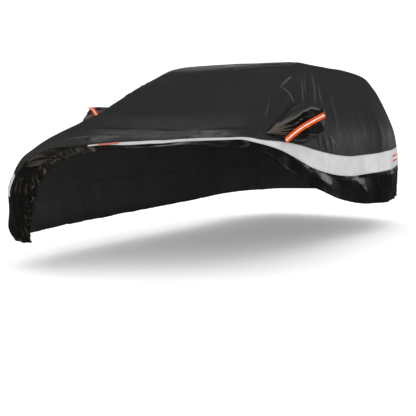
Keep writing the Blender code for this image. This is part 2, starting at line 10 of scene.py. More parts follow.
import bpy
import numpy as np
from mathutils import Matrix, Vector
from mathutils.bvhtree import BVHTree


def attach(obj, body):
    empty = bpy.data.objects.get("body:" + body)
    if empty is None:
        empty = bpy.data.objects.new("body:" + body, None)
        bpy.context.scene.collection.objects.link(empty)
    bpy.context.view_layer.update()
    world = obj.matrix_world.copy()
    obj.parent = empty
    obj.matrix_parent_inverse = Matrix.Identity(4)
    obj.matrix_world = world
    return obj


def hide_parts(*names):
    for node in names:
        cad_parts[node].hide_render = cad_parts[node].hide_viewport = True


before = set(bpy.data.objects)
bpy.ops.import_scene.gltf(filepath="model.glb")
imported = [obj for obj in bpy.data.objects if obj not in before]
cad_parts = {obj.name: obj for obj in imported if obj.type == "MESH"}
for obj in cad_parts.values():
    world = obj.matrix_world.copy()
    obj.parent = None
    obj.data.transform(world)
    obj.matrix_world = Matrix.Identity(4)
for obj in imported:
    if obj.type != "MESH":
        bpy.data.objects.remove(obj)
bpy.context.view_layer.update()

LEFT, RIGHT = 1, -1

# -------------------------------- the form, as in the solids

THICKNESS = 0.0025
PROFILE = (  # along, height of the middle of the top
    (-2.60, 0.200), (-2.20, 0.600), (-2.10, 0.680), (-1.95, 0.750), (-1.70, 0.847),
    (-1.40, 0.953), (-1.15, 1.030), (-1.00, 1.076), (-0.80, 1.180), (-0.45, 1.383),
    (-0.20, 1.506), (0.00, 1.534), (0.35, 1.527), (0.80, 1.515), (1.20, 1.481),
    (1.55, 1.417), (1.78, 1.343), (1.95, 1.127), (2.06, 0.976), (2.14, 0.817), (2.30, 0.400),
)
PLAN = (  # along, half width at the belt
    (-2.30, 0.620), (-2.00, 0.806), (-1.80, 0.822), (-1.50, 0.909), (-1.00, 0.941),
    (0.60, 0.910), (1.20, 0.955), (1.60, 0.882), (1.90, 0.819), (2.10, 0.812), (2.30, 0.650),
)
EDGE_RISE_AT = 0.60
EDGE_RISE = (  # along, how far the top rises towards its edges
    (-2.60, 0.017), (-1.50, 0.017), (-0.80, 0.024), (-0.15, -0.004), (0.45, 0.008),
    (1.20, 0.024), (2.30, 0.017),
)
EDGE_DROP, EDGE_DROP_AT = 0.020, 0.75
BELT_HEIGHT, BELT_SOFTNESS = 0.94, 0.06
UPPER_LEAN = 0.48
FLANK_LEAN, FLANK_LEAN_FROM = 0.03, 0.62
TUCK, TUCK_POWER, TUCK_BELOW = 0.08, 1.5, 0.50
FLARE, FLARE_BELOW = 0.07, 0.66
FLARE_FROM, FLARE_TO = -1.30, -1.80
HEM_TUCK, HEM_TUCK_BELOW = 4.0, 0.30
END_CURVE, END_CURVE_AT = 0.088, 0.80
TAIL_CURVE = 0.085
NOSE, NOSE_RAKE, NOSE_RAKE_POWER, NOSE_RAKE_FROM = -2.161, 0.760, 1.28, 0.54
TAIL, TAIL_RAKE, TAIL_RAKE_FROM = 2.152, 0.446, 0.70
EDGE_ROUNDING = 0.030
TOP_SLOPE, SIDE_SLOPE = 0.90, 0.93
HOLD_ALONG = 0.30

# Edge lines: station, across, along, height. A side has stations 0 to 56, and an end 0 to 18.
TOP_SEAM = (
    (16, 0.893, -1.330, 0.900), (18, 0.855, -1.200, 0.990), (20, 0.790, -1.030, 1.065),
    (22, 0.740, -0.860, 1.155), (24, 0.695, -0.700, 1.245), (26, 0.668, -0.530, 1.345),
    (27, 0.672, -0.440, 1.376), (29, 0.674, -0.270, 1.408), (33, 0.660, 0.100, 1.430),
    (37, 0.645, 0.480, 1.446), (41, 0.660, 0.860, 1.444), (45, 0.700, 1.230, 1.390),
    (48, 0.715, 1.500, 1.335), (51, 0.735, 1.760, 1.210), (53, 0.760, 1.870, 1.060),
    (55, 0.785, 1.905, 0.880), (56, 0.790, 1.900, 0.790),
)
LIFTED_BAND_TOP = (
    (0, -0.310, -1.670, 0.862), (4, 0.027, -1.590, 0.887), (9, 0.447, -1.559, 0.907),
    (13, 0.760, -1.520, 0.916), (16, 0.893, -1.330, 0.900), (19, 0.922, -1.090, 0.888),
    (23, 0.925, -0.770, 0.857), (27, 0.923, -0.450, 0.810), (33, 0.913, 0.030, 0.759),
    (37, 0.907, 0.350, 0.743), (43, 0.915, 0.830, 0.750), (48, 0.948, 1.230, 0.774),
    (52, 0.910, 1.550, 0.785), (56, 0.790, 1.900, 0.790),
)
LIFTED_BAND_BOTTOM = (
    (0, -0.288, -1.700, 0.852), (5, 0.071, -1.648, 0.866), (9, 0.450, -1.612, 0.890),
    (13, 0.745, -1.570, 0.906), (16, 0.893, -1.400, 0.883), (19, 0.928, -1.120, 0.833),
    (22, 0.934, -0.890, 0.773), (25, 0.934, -0.640, 0.700), (28, 0.928, -0.380, 0.648),
    (34, 0.916, 0.110, 0.587), (38, 0.910, 0.430, 0.571), (44, 0.930, 0.910, 0.577),
    (48, 0.945, 1.230, 0.588), (52, 0.910, 1.560, 0.595), (56, 0.800, 1.900, 0.600),
)
LIFTED_HEM = (
    (0, -0.165, -1.790, 0.815), (3, 0.020, -1.732, 0.834), (6, 0.241, -1.697, 0.851),
    (10, 0.530, -1.685, 0.863), (13, 0.773, -1.655, 0.865), (15, 0.862, -1.560, 0.854),
    (17, 0.901, -1.429, 0.835), (19, 0.920, -1.270, 0.800), (23, 0.938, -0.960, 0.665),
    (29, 0.932, -0.470, 0.514), (36, 0.905, 0.140, 0.381), (43, 0.900, 0.768, 0.300),
    (48, 0.920, 1.230, 0.285), (52, 0.880, 1.570, 0.280), (56, 0.790, 1.900, 0.280),
)
FULL_SEAM_FRONT = (
    (0, 0.690, -2.040, 0.660), (3, 0.725, -1.940, 0.745), (7, 0.790, -1.740, 0.835),
    (11, 0.845, -1.520, 0.900),
)
FULL_BAND_TOP = (
    (0, 0.690, -2.040, 0.660), (4, 0.800, -1.860, 0.675), (16, 0.925, -1.240, 0.700),
    (28, 0.930, -0.370, 0.725), (40, 0.910, 0.590, 0.752), (48, 0.948, 1.230, 0.774),
    (52, 0.910, 1.550, 0.785), (56, 0.790, 1.900, 0.790),
)
FULL_BAND_BOTTOM = (
    (0, 0.690, -2.045, 0.500), (4, 0.810, -1.870, 0.512), (16, 0.930, -1.240, 0.535),
    (28, 0.930, -0.370, 0.556), (40, 0.910, 0.590, 0.575), (48, 0.945, 1.230, 0.588),
    (52, 0.910, 1.560, 0.595), (56, 0.800, 1.900, 0.600),
)
FULL_HEM = (
    (0, 0.630, -2.005, 0.208), (4, 0.770, -1.860, 0.206), (16, 0.880, -1.240, 0.215),
    (28, 0.900, -0.370, 0.230), (40, 0.890, 0.590, 0.255), (48, 0.920, 1.230, 0.272),
    (52, 0.880, 1.570, 0.278), (56, 0.790, 1.900, 0.280),
)
FRONT_TOP = (
    (0, -0.310, -1.670, 0.862), (3, -0.425, -1.708, 0.853), (7, -0.590, -1.757, 0.837),
    (9, -0.655, -1.805, 0.818), (12, -0.635, -1.900, 0.778), (15, -0.628, -1.985, 0.722),
    (18, -0.690, -2.040, 0.660),
)
FRONT_HEM = (
    (0, -0.165, -1.790, 0.815), (3, -0.295, -1.885, 0.780), (5, -0.335, -2.000, 0.730),
    (7, -0.342, -2.085, 0.669), (8, -0.345, -2.135, 0.595), (11, -0.400, -2.133, 0.440),
    (15, -0.470, -2.100, 0.192), (18, -0.630, -2.005, 0.208),
)
REAR_TOP = (
    (0, 0.790, 1.900, 0.790), (4, 0.480, 2.070, 0.795), (9, 0.000, 2.130, 0.800),
    (14, -0.480, 2.070, 0.795), (18, -0.790, 1.900, 0.790),
)
REAR_HEM = (
    (0, 0.790, 1.900, 0.280), (4, 0.480, 2.080, 0.290), (9, 0.000, 2.150, 0.300),
    (14, -0.480, 2.080, 0.290), (18, -0.790, 1.900, 0.280),
)

FOLD_END_SHARE = 0.4
FOLDS = (  # the solids' folds: where each starts, where it ends, half width, rise
    (0.68, -0.40, 1.385, 0.70, -0.65, 1.275, 0.040, 0.010),
    (0.70, -0.65, 1.275, 0.82, -0.67, 1.145, 0.040, 0.011),
    (0.67, -0.26, 1.415, 0.80, -0.48, 1.170, 0.035, 0.009),
    (0.66, -0.13, 1.440, 0.80, -0.36, 1.180, 0.030, -0.006),
    (0.65, 0.02, 1.455, 0.80, -0.25, 1.170, 0.045, 0.011),
    (0.68, 0.25, 1.390, 0.87, 0.03, 0.990, 0.050, 0.009),
    (0.68, -0.76, 1.220, 0.84, -1.16, 1.005, 0.040, 0.008),
    (0.74, 0.66, 1.265, 0.88, 0.66, 0.950, 0.060, 0.007),
    (0.76, 1.04, 1.290, 0.94, 1.02, 0.800, 0.060, 0.008),
    (0.90, -0.29, 0.925, 0.92, -0.25, 0.810, 0.035, 0.008),
    (0.56, -0.29, 1.470, 0.16, -0.33, 1.445, 0.050, 0.010),
    (0.46, -0.21, 1.500, 0.03, -0.25, 1.475, 0.045, -0.006),
    (0.11, -0.12, 1.510, -0.54, -0.23, 1.490, 0.070, 0.008),
    (-0.64, -1.60, 0.885, -0.47, -1.455, 0.945, 0.050, 0.014),
    (-0.47, -1.455, 0.945, 0.07, -1.445, 0.940, 0.055, 0.016),
    (0.07, -1.445, 0.940, 0.76, -1.45, 0.940, 0.050, 0.014),
    (0.92, 0.04, 0.580, 0.91, 0.59, 0.490, 0.045, 0.011),
    (0.94, -0.88, 0.740, 0.92, -0.19, 0.520, 0.050, 0.009),
    (-0.68, -0.40, 1.385, -0.80, -0.48, 1.170, 0.045, 0.010),
    (-0.65, 0.02, 1.455, -0.80, -0.25, 1.170, 0.045, 0.010),
    (-0.76, 1.04, 1.290, -0.94, 1.02, 0.800, 0.060, 0.008),
    (-0.92, -0.90, 0.500, -0.88, -0.80, 0.280, 0.060, 0.009),
    (-0.92, 0.60, 0.550, -0.90, 0.70, 0.320, 0.060, 0.009),
    (0.30, 2.10, 0.700, 0.25, 2.12, 0.360, 0.070, 0.009),
    (-0.35, 2.10, 0.700, -0.30, 2.12, 0.360, 0.070, 0.009),
)

POCKET_FOOT_ALONG, POCKET_FOOT_HEIGHT = -0.68, 1.000
POCKET_FORWARD = {LEFT: 0.59, RIGHT: 0.43}  # the fine cloth's, a little off the solids' own
POCKET_BACK = 0.24
POCKET_UP, POCKET_DOWN = 0.125, 0.130
POCKET_DROOP = {LEFT: 0.058, RIGHT: 0.070}
POCKET_TAPER, POCKET_TOP_TAPER = 1.6, 2.0
POCKET_TIP = (1.030, -0.722, 1.045)
POCKET_TIP_LONG, POCKET_TIP_TALL = 0.142, 0.114
POCKET_TIP_SQUARE = 0.6
POCKET_TIP_ROUND = 0.022
POCKET_TIP_TURN = 0.12
STRIP_WIDTH = 0.042
STRIP_REACH = (-0.05, 0.15)
STRIP_BOW = {LEFT: 0.8, RIGHT: 0.0}  # of half its width
STRIPS = {  # low end, high end and the way it faces
    LEFT: ((0.934, -1.053, 0.893), (1.025, -0.615, 1.075), (0.80, -0.60, 0.00)),
    RIGHT: ((0.800, -0.914, 1.058), (1.045, -0.806, 1.180), (-0.28, -0.30, 0.91)),
}

# -------------------------------- fine cloth

STEPS = ((0, 16, 8), (16, 24, 6), (24, 32, 18), (32, 40, 8), (40, 56, 4))  # from, to, steps each
TOP_STEPS = ((0, 4, 10), (4, 18, 4))  # the same over the top, from the lifted side
NOSE_STEPS = ((0, 8, 12), (8, 18, 18))
TAIL_STEPS = ((0, 18, 5),)
SIDE_ROWS = {LEFT: 64, RIGHT: 44}
BAND_ROWS, SKIRT_ROWS = 16, 34
HEM_LEVELS = (0.034, 0.030, 0.025, 0.020, 0.015, 0.010, 0.006, 0.003, 0.0)  # over the hem
HEM_BULGE = 0.004
SKIRT_FACETS = {LEFT: (0.34, 0.024), RIGHT: (0.22, 0.012)}  # size and rise
HEM_STRENGTH = {LEFT: 0.3, RIGHT: 1.0}  # the lifted hem is drawn out nearly smooth
ROLL_CRUMPLES = (  # across, along, half size each way, strength
    (-0.300, -1.570, 0.130, 0.060, 1.0), (0.100, -1.500, 0.200, 0.045, 0.5),
    (0.600, -1.510, 0.180, 0.060, 0.8), (-0.560, -1.700, 0.120, 0.080, 0.2),
)

TIGHT_AND_PAINTED_SHEEN = (  # across, along, half size each way, strength: where drawn tight the cloth is less rough and a painted sheen lightens its colour
    (-0.300, -0.240, 0.240, 0.055, 1.0), (0.000, -0.210, 0.190, 0.050, 1.0),
    (0.250, -1.500, 0.550, 0.070, 0.30),
)

# Narrow folds: across, along and height of the start and of the end, the bow to one side, the
# half width at the start and at the end, and the rise.
CORNER_FOLDS = (  # round the top's front corner, the upper side and the flank
    (0.681, -0.398, 1.383, 0.701, -0.646, 1.275, 0.002, 0.007, 0.012, 0.011),
    (0.701, -0.646, 1.275, 0.820, -0.671, 1.145, -0.001, 0.010, 0.009, 0.011),
    (0.671, -0.262, 1.414, 0.804, -0.484, 1.171, -0.010, 0.007, 0.013, 0.010),
    (0.662, -0.190, 1.428, 0.785, -0.420, 1.200, 0.006, 0.006, 0.009, -0.005),
    (0.656, -0.127, 1.438, 0.772, -0.342, 1.228, 0.008, 0.006, 0.010, 0.009),
    (0.642, 0.016, 1.456, 0.798, -0.251, 1.171, -0.012, 0.007, 0.013, 0.010),
    (0.650, -0.050, 1.446, 0.790, -0.300, 1.190, 0.004, 0.006, 0.008, -0.005),
    (0.692, 0.064, 1.363, 0.806, -0.097, 1.144, 0.010, 0.007, 0.012, 0.009),
    (0.674, 0.248, 1.390, 0.872, 0.033, 0.991, -0.016, 0.009, 0.016, 0.007),
    (0.734, 0.657, 1.266, 0.835, 0.661, 1.061, 0.012, 0.023, 0.032, 0.003),
    (0.757, 1.038, 1.292, 0.908, 0.828, 0.875, 0.020, 0.023, 0.038, 0.004),
    (0.828, 1.040, 1.151, 0.939, 1.022, 0.780, -0.012, 0.023, 0.036, 0.003),
    (0.681, -0.753, 1.217, 0.844, -1.158, 1.007, 0.010, 0.007, 0.012, 0.007),
    (0.794, -0.792, 1.162, 0.854, -0.930, 1.058, 0.004, 0.007, 0.010, 0.005),
    (0.901, -0.293, 0.927, 0.918, -0.248, 0.809, 0.006, 0.010, 0.015, 0.010),
    (0.899, -0.145, 0.918, 0.916, -0.117, 0.774, -0.006, 0.010, 0.014, 0.010),
    (0.895, -0.380, 0.935, 0.921, -0.400, 0.830, 0.004, 0.012, 0.010, 0.009),
    (0.890, -0.210, 0.960, 0.912, -0.010, 0.830, 0.012, 0.010, 0.016, 0.008),
    (0.870, 0.300, 1.020, 0.905, 0.420, 0.800, -0.014, 0.027, 0.042, 0.003),
    (0.740, 1.420, 1.250, 0.880, 1.300, 0.900, 0.020, 0.025, 0.042, 0.004),
    (0.730, 1.620, 1.260, 0.840, 1.700, 0.900, -0.015, 0.019, 0.036, 0.004),
)
TOP_FOLDS = (  # over the top, its front edge, the front slope and the roll behind the edge
    (0.555, -0.288, 1.470, 0.156, -0.327, 1.444, 0.012, 0.009, 0.014, 0.010),
    (0.462, -0.207, 1.498, 0.028, -0.252, 1.475, -0.010, 0.009, 0.016, 0.009),
    (0.600, -0.330, 1.440, 0.330, -0.420, 1.395, 0.010, 0.008, 0.012, 0.006),
    (0.560, -0.240, 1.490, 0.300, -0.170, 1.505, 0.010, 0.008, 0.014, 0.006),
    (0.108, -0.119, 1.510, -0.544, -0.230, 1.492, -0.020, 0.016, 0.030, 0.004),
    (0.600, -0.150, 1.480, 0.610, 0.120, 1.500, 0.010, 0.010, 0.024, 0.004),
    (0.560, -0.180, 1.495, 0.480, 0.060, 1.520, 0.010, 0.010, 0.022, -0.003),
    (-0.600, -0.330, 1.440, -0.330, -0.400, 1.405, -0.010, 0.010, 0.018, 0.004),
    (-0.580, -0.200, 1.490, -0.460, 0.080, 1.520, 0.014, 0.010, 0.024, 0.004),
    (-0.560, -0.288, 1.470, -0.250, -0.300, 1.460, 0.012, 0.010, 0.020, 0.005),
    (0.200, 0.300, 1.530, -0.300, 0.620, 1.530, 0.030, 0.030, 0.040, 0.004),
    (0.550, 0.900, 1.510, -0.100, 1.150, 1.490, 0.030, 0.030, 0.045, 0.004),
    (-0.550, 1.000, 1.500, -0.150, 1.350, 1.450, -0.030, 0.026, 0.040, 0.004),
    (0.640, 1.480, 1.380, 0.250, 1.640, 1.390, 0.020, 0.016, 0.034, 0.006),
    (-0.640, 1.480, 1.380, -0.250, 1.640, 1.390, -0.020, 0.016, 0.034, 0.006),
    (0.690, 1.760, 1.220, 0.300, 1.860, 1.230, 0.020, 0.014, 0.030, 0.006),
    (-0.690, 1.760, 1.220, -0.300, 1.850, 1.240, -0.020, 0.014, 0.030, 0.006),
    (0.700, 1.860, 1.040, 0.350, 1.990, 1.050, 0.015, 0.014, 0.030, 0.005),
    (-0.700, 1.860, 1.040, -0.350, 1.990, 1.050, -0.015, 0.014, 0.030, 0.005),
    (-0.010, -1.333, 0.974, 0.459, -1.397, 0.963, 0.010, 0.012, 0.012, -0.006),
    (0.459, -1.397, 0.963, 0.849, -1.327, 0.957, -0.010, 0.012, 0.012, -0.006),
    (-0.700, -1.330, 0.960, -0.010, -1.333, 0.974, 0.010, 0.014, 0.014, -0.005),
    (-0.468, -1.470, 0.944, 0.071, -1.470, 0.938, 0.010, 0.012, 0.014, 0.007),
    (0.071, -1.460, 0.938, 0.765, -1.470, 0.940, -0.008, 0.012, 0.014, 0.007),
    (-0.150, -1.520, 0.918, -0.420, -1.560, 0.905, 0.010, 0.010, 0.014, 0.006),
    (-0.640, -1.640, 0.880, -0.400, -1.500, 0.925, 0.010, 0.012, 0.016, 0.006),
    (0.300, -1.500, 0.925, 0.620, -1.530, 0.920, -0.006, 0.009, 0.012, 0.004),
    (-0.300, -1.600, 0.890, -0.120, -1.500, 0.925, -0.010, 0.009, 0.014, 0.007),
    (-0.220, -1.620, 0.885, -0.100, -1.540, 0.912, 0.010, 0.009, 0.012, -0.005),
    (-0.120, -1.610, 0.885, 0.020, -1.490, 0.925, 0.010, 0.009, 0.014, 0.006),
    (0.020, -1.570, 0.895, 0.200, -1.480, 0.930, 0.010, 0.009, 0.014, 0.005),
)
NOSE_FOLDS = (  # down the glossy cloth of the nose, the lifted edge and the tail
    (-0.655, -1.800, 0.815, -0.330, -1.720, 0.845, 0.006, 0.010, 0.012, 0.007),
    (-0.650, -1.830, 0.805, -0.628, -1.985, 0.722, 0.006, 0.010, 0.012, 0.009),
    (-0.560, -1.880, 0.790, -0.360, -1.820, 0.805, 0.010, 0.012, 0.010, 0.008),
    (-0.600, -1.950, 0.745, -0.380, -1.900, 0.770, -0.008, 0.012, 0.010, 0.008),
    (-0.590, -2.010, 0.700, -0.390, -2.000, 0.725, 0.008, 0.012, 0.010, 0.007),
    (-0.600, -2.060, 0.640, -0.400, -2.080, 0.660, -0.008, 0.012, 0.010, 0.007),
    (-0.640, -2.050, 0.620, -0.560, -2.090, 0.250, 0.012, 0.012, 0.018, 0.010),
    (-0.590, -2.080, 0.600, -0.500, -2.120, 0.260, -0.012, 0.012, 0.018, 0.010),
    (-0.540, -2.090, 0.640, -0.470, -2.125, 0.360, 0.010, 0.010, 0.016, 0.009),
    (-0.480, -2.100, 0.620, -0.430, -2.135, 0.420, -0.008, 0.010, 0.014, 0.008),
    (0.500, 2.040, 0.720, 0.460, 2.070, 0.380, 0.014, 0.016, 0.024, 0.009),
    (0.120, 2.110, 0.740, 0.100, 2.140, 0.420, -0.014, 0.016, 0.024, 0.009),
    (-0.120, 2.110, 0.720, -0.140, 2.140, 0.380, 0.014, 0.016, 0.024, 0.009),
    (-0.560, 2.010, 0.740, -0.520, 2.050, 0.400, -0.014, 0.016, 0.024, 0.009),
)
SKIRT_FOLDS = (  # along and down the glossy cloth under a band
    (0.918, 0.038, 0.570, 0.909, 0.588, 0.489, 0.020, 0.016, 0.024, 0.009),
    (0.935, -0.876, 0.730, 0.924, -0.190, 0.530, 0.016, 0.014, 0.022, 0.002),
    (0.936, -0.760, 0.650, 0.926, -0.250, 0.490, -0.012, 0.012, 0.016, -0.003),
    (0.912, 0.350, 0.540, 0.905, 0.720, 0.380, -0.018, 0.014, 0.022, 0.008),
    (0.930, 0.900, 0.540, 0.925, 1.050, 0.340, 0.014, 0.016, 0.024, 0.009),
    (0.935, 1.200, 0.560, 0.920, 1.260, 0.330, -0.010, 0.014, 0.022, 0.009),
    (0.915, 1.480, 0.560, 0.900, 1.440, 0.320, 0.012, 0.014, 0.022, 0.009),
    (0.860, 1.700, 0.570, 0.840, 1.720, 0.320, -0.010, 0.014, 0.022, 0.009),
)
FAR_SKIRT_FOLDS = (  # the same, where the far side's cloth hangs in full
    (0.800, -1.850, 0.480, 0.770, -1.820, 0.250, 0.010, 0.014, 0.022, 0.009),
    (0.860, -1.640, 0.490, 0.840, -1.560, 0.260, -0.012, 0.014, 0.024, 0.010),
    (0.920, -1.350, 0.510, 0.890, -1.380, 0.270, 0.012, 0.014, 0.024, 0.009),
    (0.930, -1.050, 0.500, 0.900, -0.960, 0.270, -0.014, 0.016, 0.026, 0.010),
    (0.928, -0.640, 0.520, 0.905, -0.700, 0.280, 0.012, 0.014, 0.024, 0.009),
    (0.925, -0.250, 0.530, 0.905, -0.180, 0.280, -0.012, 0.016, 0.024, 0.010),
    (0.918, 0.180, 0.540, 0.900, 0.120, 0.300, 0.012, 0.014, 0.024, 0.009),
    (0.912, 0.500, 0.550, 0.900, 0.560, 0.300, -0.012, 0.014, 0.024, 0.009),
    (0.930, 0.950, 0.560, 0.915, 1.000, 0.320, 0.012, 0.014, 0.024, 0.009),
    (0.938, 1.260, 0.570, 0.920, 1.220, 0.320, -0.010, 0.014, 0.022, 0.009),
    (0.890, 1.600, 0.570, 0.870, 1.640, 0.320, 0.010, 0.014, 0.022, 0.009),
)


def smooth_through(table, at):
    """Values of a table's columns at these places, by monotone cubic interpolation."""
    rows = np.array(table, float)
    knots, values = rows[:, 0], rows[:, 1:]
    step = np.diff(knots)[:, None]
    slope = np.diff(values, axis=0) / step
    inner = slope[:-1] * slope[1:] > 0
    before, after = step[:-1], step[1:]
    weight_a, weight_b = 2 * after + before, after + 2 * before
    with np.errstate(divide="ignore", invalid="ignore"):
        mean = (weight_a + weight_b) / (weight_a / slope[:-1] + weight_b / slope[1:])
    tangent = np.vstack([slope[:1], np.where(inner, mean, 0.0), slope[-1:]])
    at = np.asarray(at, float)
    part = np.clip(np.searchsorted(knots, at, side="right") - 1, 0, len(knots) - 2)
    width = step[part]
    t = ((at - knots[part])[..., None]) / width
    return (
        values[part] * (2 * t**3 - 3 * t**2 + 1)
        + values[part + 1] * (3 * t**2 - 2 * t**3)
        + tangent[part] * width * (t**3 - 2 * t**2 + t)
        + tangent[part + 1] * width * (t**3 - t**2)
    )


def hem_tuck(height):
    return HEM_TUCK * np.maximum(0, HEM_TUCK_BELOW - height) ** 2


def half_width(along, height):
    belt = smooth_through(PLAN, along)[..., 0]
    over_belt = np.clip((height - BELT_HEIGHT) / BELT_SOFTNESS, -30, 30)
    upper = UPPER_LEAN * BELT_SOFTNESS * np.log1p(np.exp(over_belt))
    flank = FLANK_LEAN * np.maximum(0, height - FLANK_LEAN_FROM)
    tuck = TUCK * np.maximum(0, TUCK_BELOW - height) ** TUCK_POWER
    ahead = np.clip((FLARE_FROM - along) / (FLARE_FROM - FLARE_TO), 0, 1)
    flare = FLARE * ahead * np.maximum(0, FLARE_BELOW - height)
    return belt - upper - flank - tuck + flare - hem_tuck(height)


def outside(points):
    """Under zero inside the form, zero on it, and about the distance in metres outside."""
    across, along, height = np.abs(points[..., 0]), points[..., 1], points[..., 2]
    edge_rise = smooth_through(EDGE_RISE, along)[..., 0]
    crown = edge_rise * (across / EDGE_RISE_AT) ** 2 - EDGE_DROP * (across / EDGE_DROP_AT) ** 6
    top = smooth_through(PROFILE, along)[..., 0] + crown
    corner = (across / END_CURVE_AT) ** 2 + (across / END_CURVE_AT) ** 6
    nose_rake = NOSE_RAKE * np.maximum(0, height - NOSE_RAKE_FROM) ** NOSE_RAKE_POWER
    tail_rake = TAIL_RAKE * np.maximum(0, height - TAIL_RAKE_FROM)
    limits = np.stack([
        TOP_SLOPE * (height - top),
        SIDE_SLOPE * (across - half_width(along, height)),
        NOSE + END_CURVE * corner + nose_rake + hem_tuck(height) - along,
        along - (TAIL - TAIL_CURVE * corner - tail_rake),
    ])
    most = limits.max(0)
    return most + EDGE_ROUNDING * np.log(np.exp((limits - most) / EDGE_ROUNDING).sum(0))


def outward(points):
    """The form's outward direction at each point, and how fast it changes there."""
    step = 1e-4
    change = [
        (outside(points + step * axis) - outside(points - step * axis)) / (2 * step)
        for axis in np.eye(3)
    ]
    change = np.stack(change, -1)
    rate = np.linalg.norm(change, axis=-1, keepdims=True)
    return change / rate, rate


def onto_form(points, passes=5):
    points = np.array(points, float)
    for _ in range(passes):
        direction, rate = outward(points)
        points -= direction * outside(points)[..., None] / rate
    return points


ORIGIN = onto_form([[0.0, HOLD_ALONG, 1.5]], 8)[0] - (0, 0, THICKNESS)


def main_folds(points):
    """How far the solids' own folds stand out of the form at each point."""
    rise = np.zeros(points.shape[:-1])
    for row in FOLDS:
        start, end, width, height = np.array(row[:3]), np.array(row[3:6]), row[6], row[7]
        run = end - start
        share = np.clip(((points - start) @ run) / (run @ run), 0, 1)
        gap = np.linalg.norm(points - start - share[..., None] * run, axis=-1)
        swell = FOLD_END_SHARE + (1 - FOLD_END_SHARE) * np.sin(math.pi * share)
        rise += height * swell * np.exp(-((gap / width) ** 2))
    return rise


# -------------------------------- fine relief

PATH_PARTS = 12  # straight parts of a narrow fold's line
FOLD_REACH = 3.0  # how many half widths from its line a narrow fold ends
FOLD_TIP, SWELL_POWER = 0.04, 0.6  # how its rise fades towards its ends
CREST_POWER = 1.3  # under 2, for a sharp crest
PAINTED_LINE_NARROWER, PAINTED_LINE_RISE = 0.9, 0.008  # a fold's painted line, highlight on a ridge and shade in a groove: its width, the rise of a full one
NOISE_CELLS = 256  # a power of two
TWO_OCTAVES, THREE_OCTAVES = ((1, 1.0), (2, 0.4)), ((1, 1.0), (2, 0.5), (4, 0.25))


def narrow_folds(points, table, side=LEFT, narrower=1.0):
    """Rise of a table's narrow folds, each along a bowed line on the form."""
    flat = points.reshape(-1, 3)
    rise = np.zeros(len(flat))
    share = np.linspace(0, 1, PATH_PARTS + 1)[:, None]
    for row in table:
        start = np.array(row[:3]) * (side, 1, 1)
        end = np.array(row[3:6]) * (side, 1, 1)
        bow, width_start, width_end, height = row[6:]
        facing = outward((start + end) / 2)[0]
        aside = np.cross(end - start, facing)
        aside *= side * bow * 4 / np.linalg.norm(aside)
        path = onto_form(start + (end - start) * share + aside * share * (1 - share))
        reach = FOLD_REACH * max(width_start, width_end)
        low, high = path.min(0) - reach, path.max(0) + reach
        near = np.nonzero(((flat > low) & (flat < high)).all(1))[0]
        best, where = np.full(len(near), np.inf), np.zeros(len(near))
        for i in range(PATH_PARTS):
            run = path[i + 1] - path[i]
            part = np.clip(((flat[near] - path[i]) @ run) / (run @ run), 0, 1)
            gap = np.linalg.norm(flat[near] - path[i] - part[:, None] * run, axis=1)
            closer = gap < best
            best = np.where(closer, gap, best)
            where = np.where(closer, (i + part) / PATH_PARTS, where)
        width = width_start + (width_end - width_start) * where
        swell = np.sin(math.pi * (FOLD_TIP + (1 - 2 * FOLD_TIP) * where)) ** SWELL_POWER
        rise[near] += height * swell * np.exp(-((best / (narrower * width)) ** CREST_POWER))
    return rise.reshape(points.shape[:-1])


def painted_fold_shading(points, tables):
    """Painted highlight along the tables' narrow fold ridges, up to 1, and painted shade along
    their grooves, down to -1.
    """
    rise = 0.0
    for table, side in tables:
        rise = rise + narrow_folds(points, table, side, PAINTED_LINE_NARROWER)
    return np.clip(rise / PAINTED_LINE_RISE, -1, 1)


def noise(points, seed):
    """Smooth noise from about -1 to 1, one bump for each unit of length."""
    random = np.random.default_rng(seed)
    order = random.permutation(NOISE_CELLS)
    slopes = random.normal(size=(NOISE_CELLS, 3))
    slopes /= np.linalg.norm(slopes, axis=1, keepdims=True)
    last = NOISE_CELLS - 1
    cell = np.floor(points).astype(int)
    part = points - cell
    ease = part**3 * (part * (part * 6 - 15) + 10)
    total = 0.0
    for corner in np.ndindex(2, 2, 2):
        at = cell + corner
        pick = order[at[..., 0] & last]
        pick = order[(pick + at[..., 1]) & last]
        pick = order[(pick + at[..., 2]) & last]
        value = (slopes[pick] * (part - corner)).sum(-1)
        weight = np.where(corner, ease, 1 - ease).prod(-1)
        total = total + value * weight
    return 1.6 * total


def crinkles(points, size, seed, octaves=THREE_OCTAVES):
    """Sharp-crested creases of film-like cloth, from about -1 to 1, about this far apart."""
    warp = np.stack([noise(points / (2 * size), seed + k) for k in (1, 2, 3)], -1)
    bent = points / size + 0.7 * warp
    total = 0.0
    for octave, weight in octaves:
        total = total + weight * (0.5 - np.abs(noise(bent * octave, seed + octave)) * 1.8)
    return total


def pleats(run, from_hem, apart, reach, seed):
    """Creases that run up from a hem, about this far apart and this long, from -1 to 1."""
    level = 0 * run
    slant = 0.6 * apart * noise(np.stack([run / (3 * apart), from_hem / reach, level], -1), seed)
    place = np.stack([(run + slant) / apart, from_hem / reach, level], -1)
    return crinkles(place, 1.0, seed + 10, TWO_OCTAVES)


def patches(points, table):
    """How strongly a table's soft round patches cover each point."""
    total = np.zeros(points.shape[:-1])
    for across, along, wide, deep, strength in table:
        gap = ((points[..., 0] - across) / wide) ** 2 + ((points[..., 1] - along) / deep) ** 2
        total += strength * np.exp(-gap)
    return np.clip(total, 0, 1)


def smoothstep(low, high, value):
    t = np.clip((value - low) / (high - low), 0, 1)
    return t * t * (3 - 2 * t)


def away_from(edges, reach):
    """0 on these edges, and 1 this far from all of them."""
    share = 1.0
    for distance in edges:
        share = share * smoothstep(0, reach, distance)
    return share


# -------------------------------- grids on the form

def at_stations(first=0, table=STEPS):
    """The fine places along an edge from this station on, finer where the cloth is more folded."""
    places = [
        np.linspace(start, end, (end - start) * steps + 1)[:-1] for start, end, steps in table
    ]
    places = np.concatenate(places + [[table[-1][1]]])
    return places[places >= first - 1e-9]


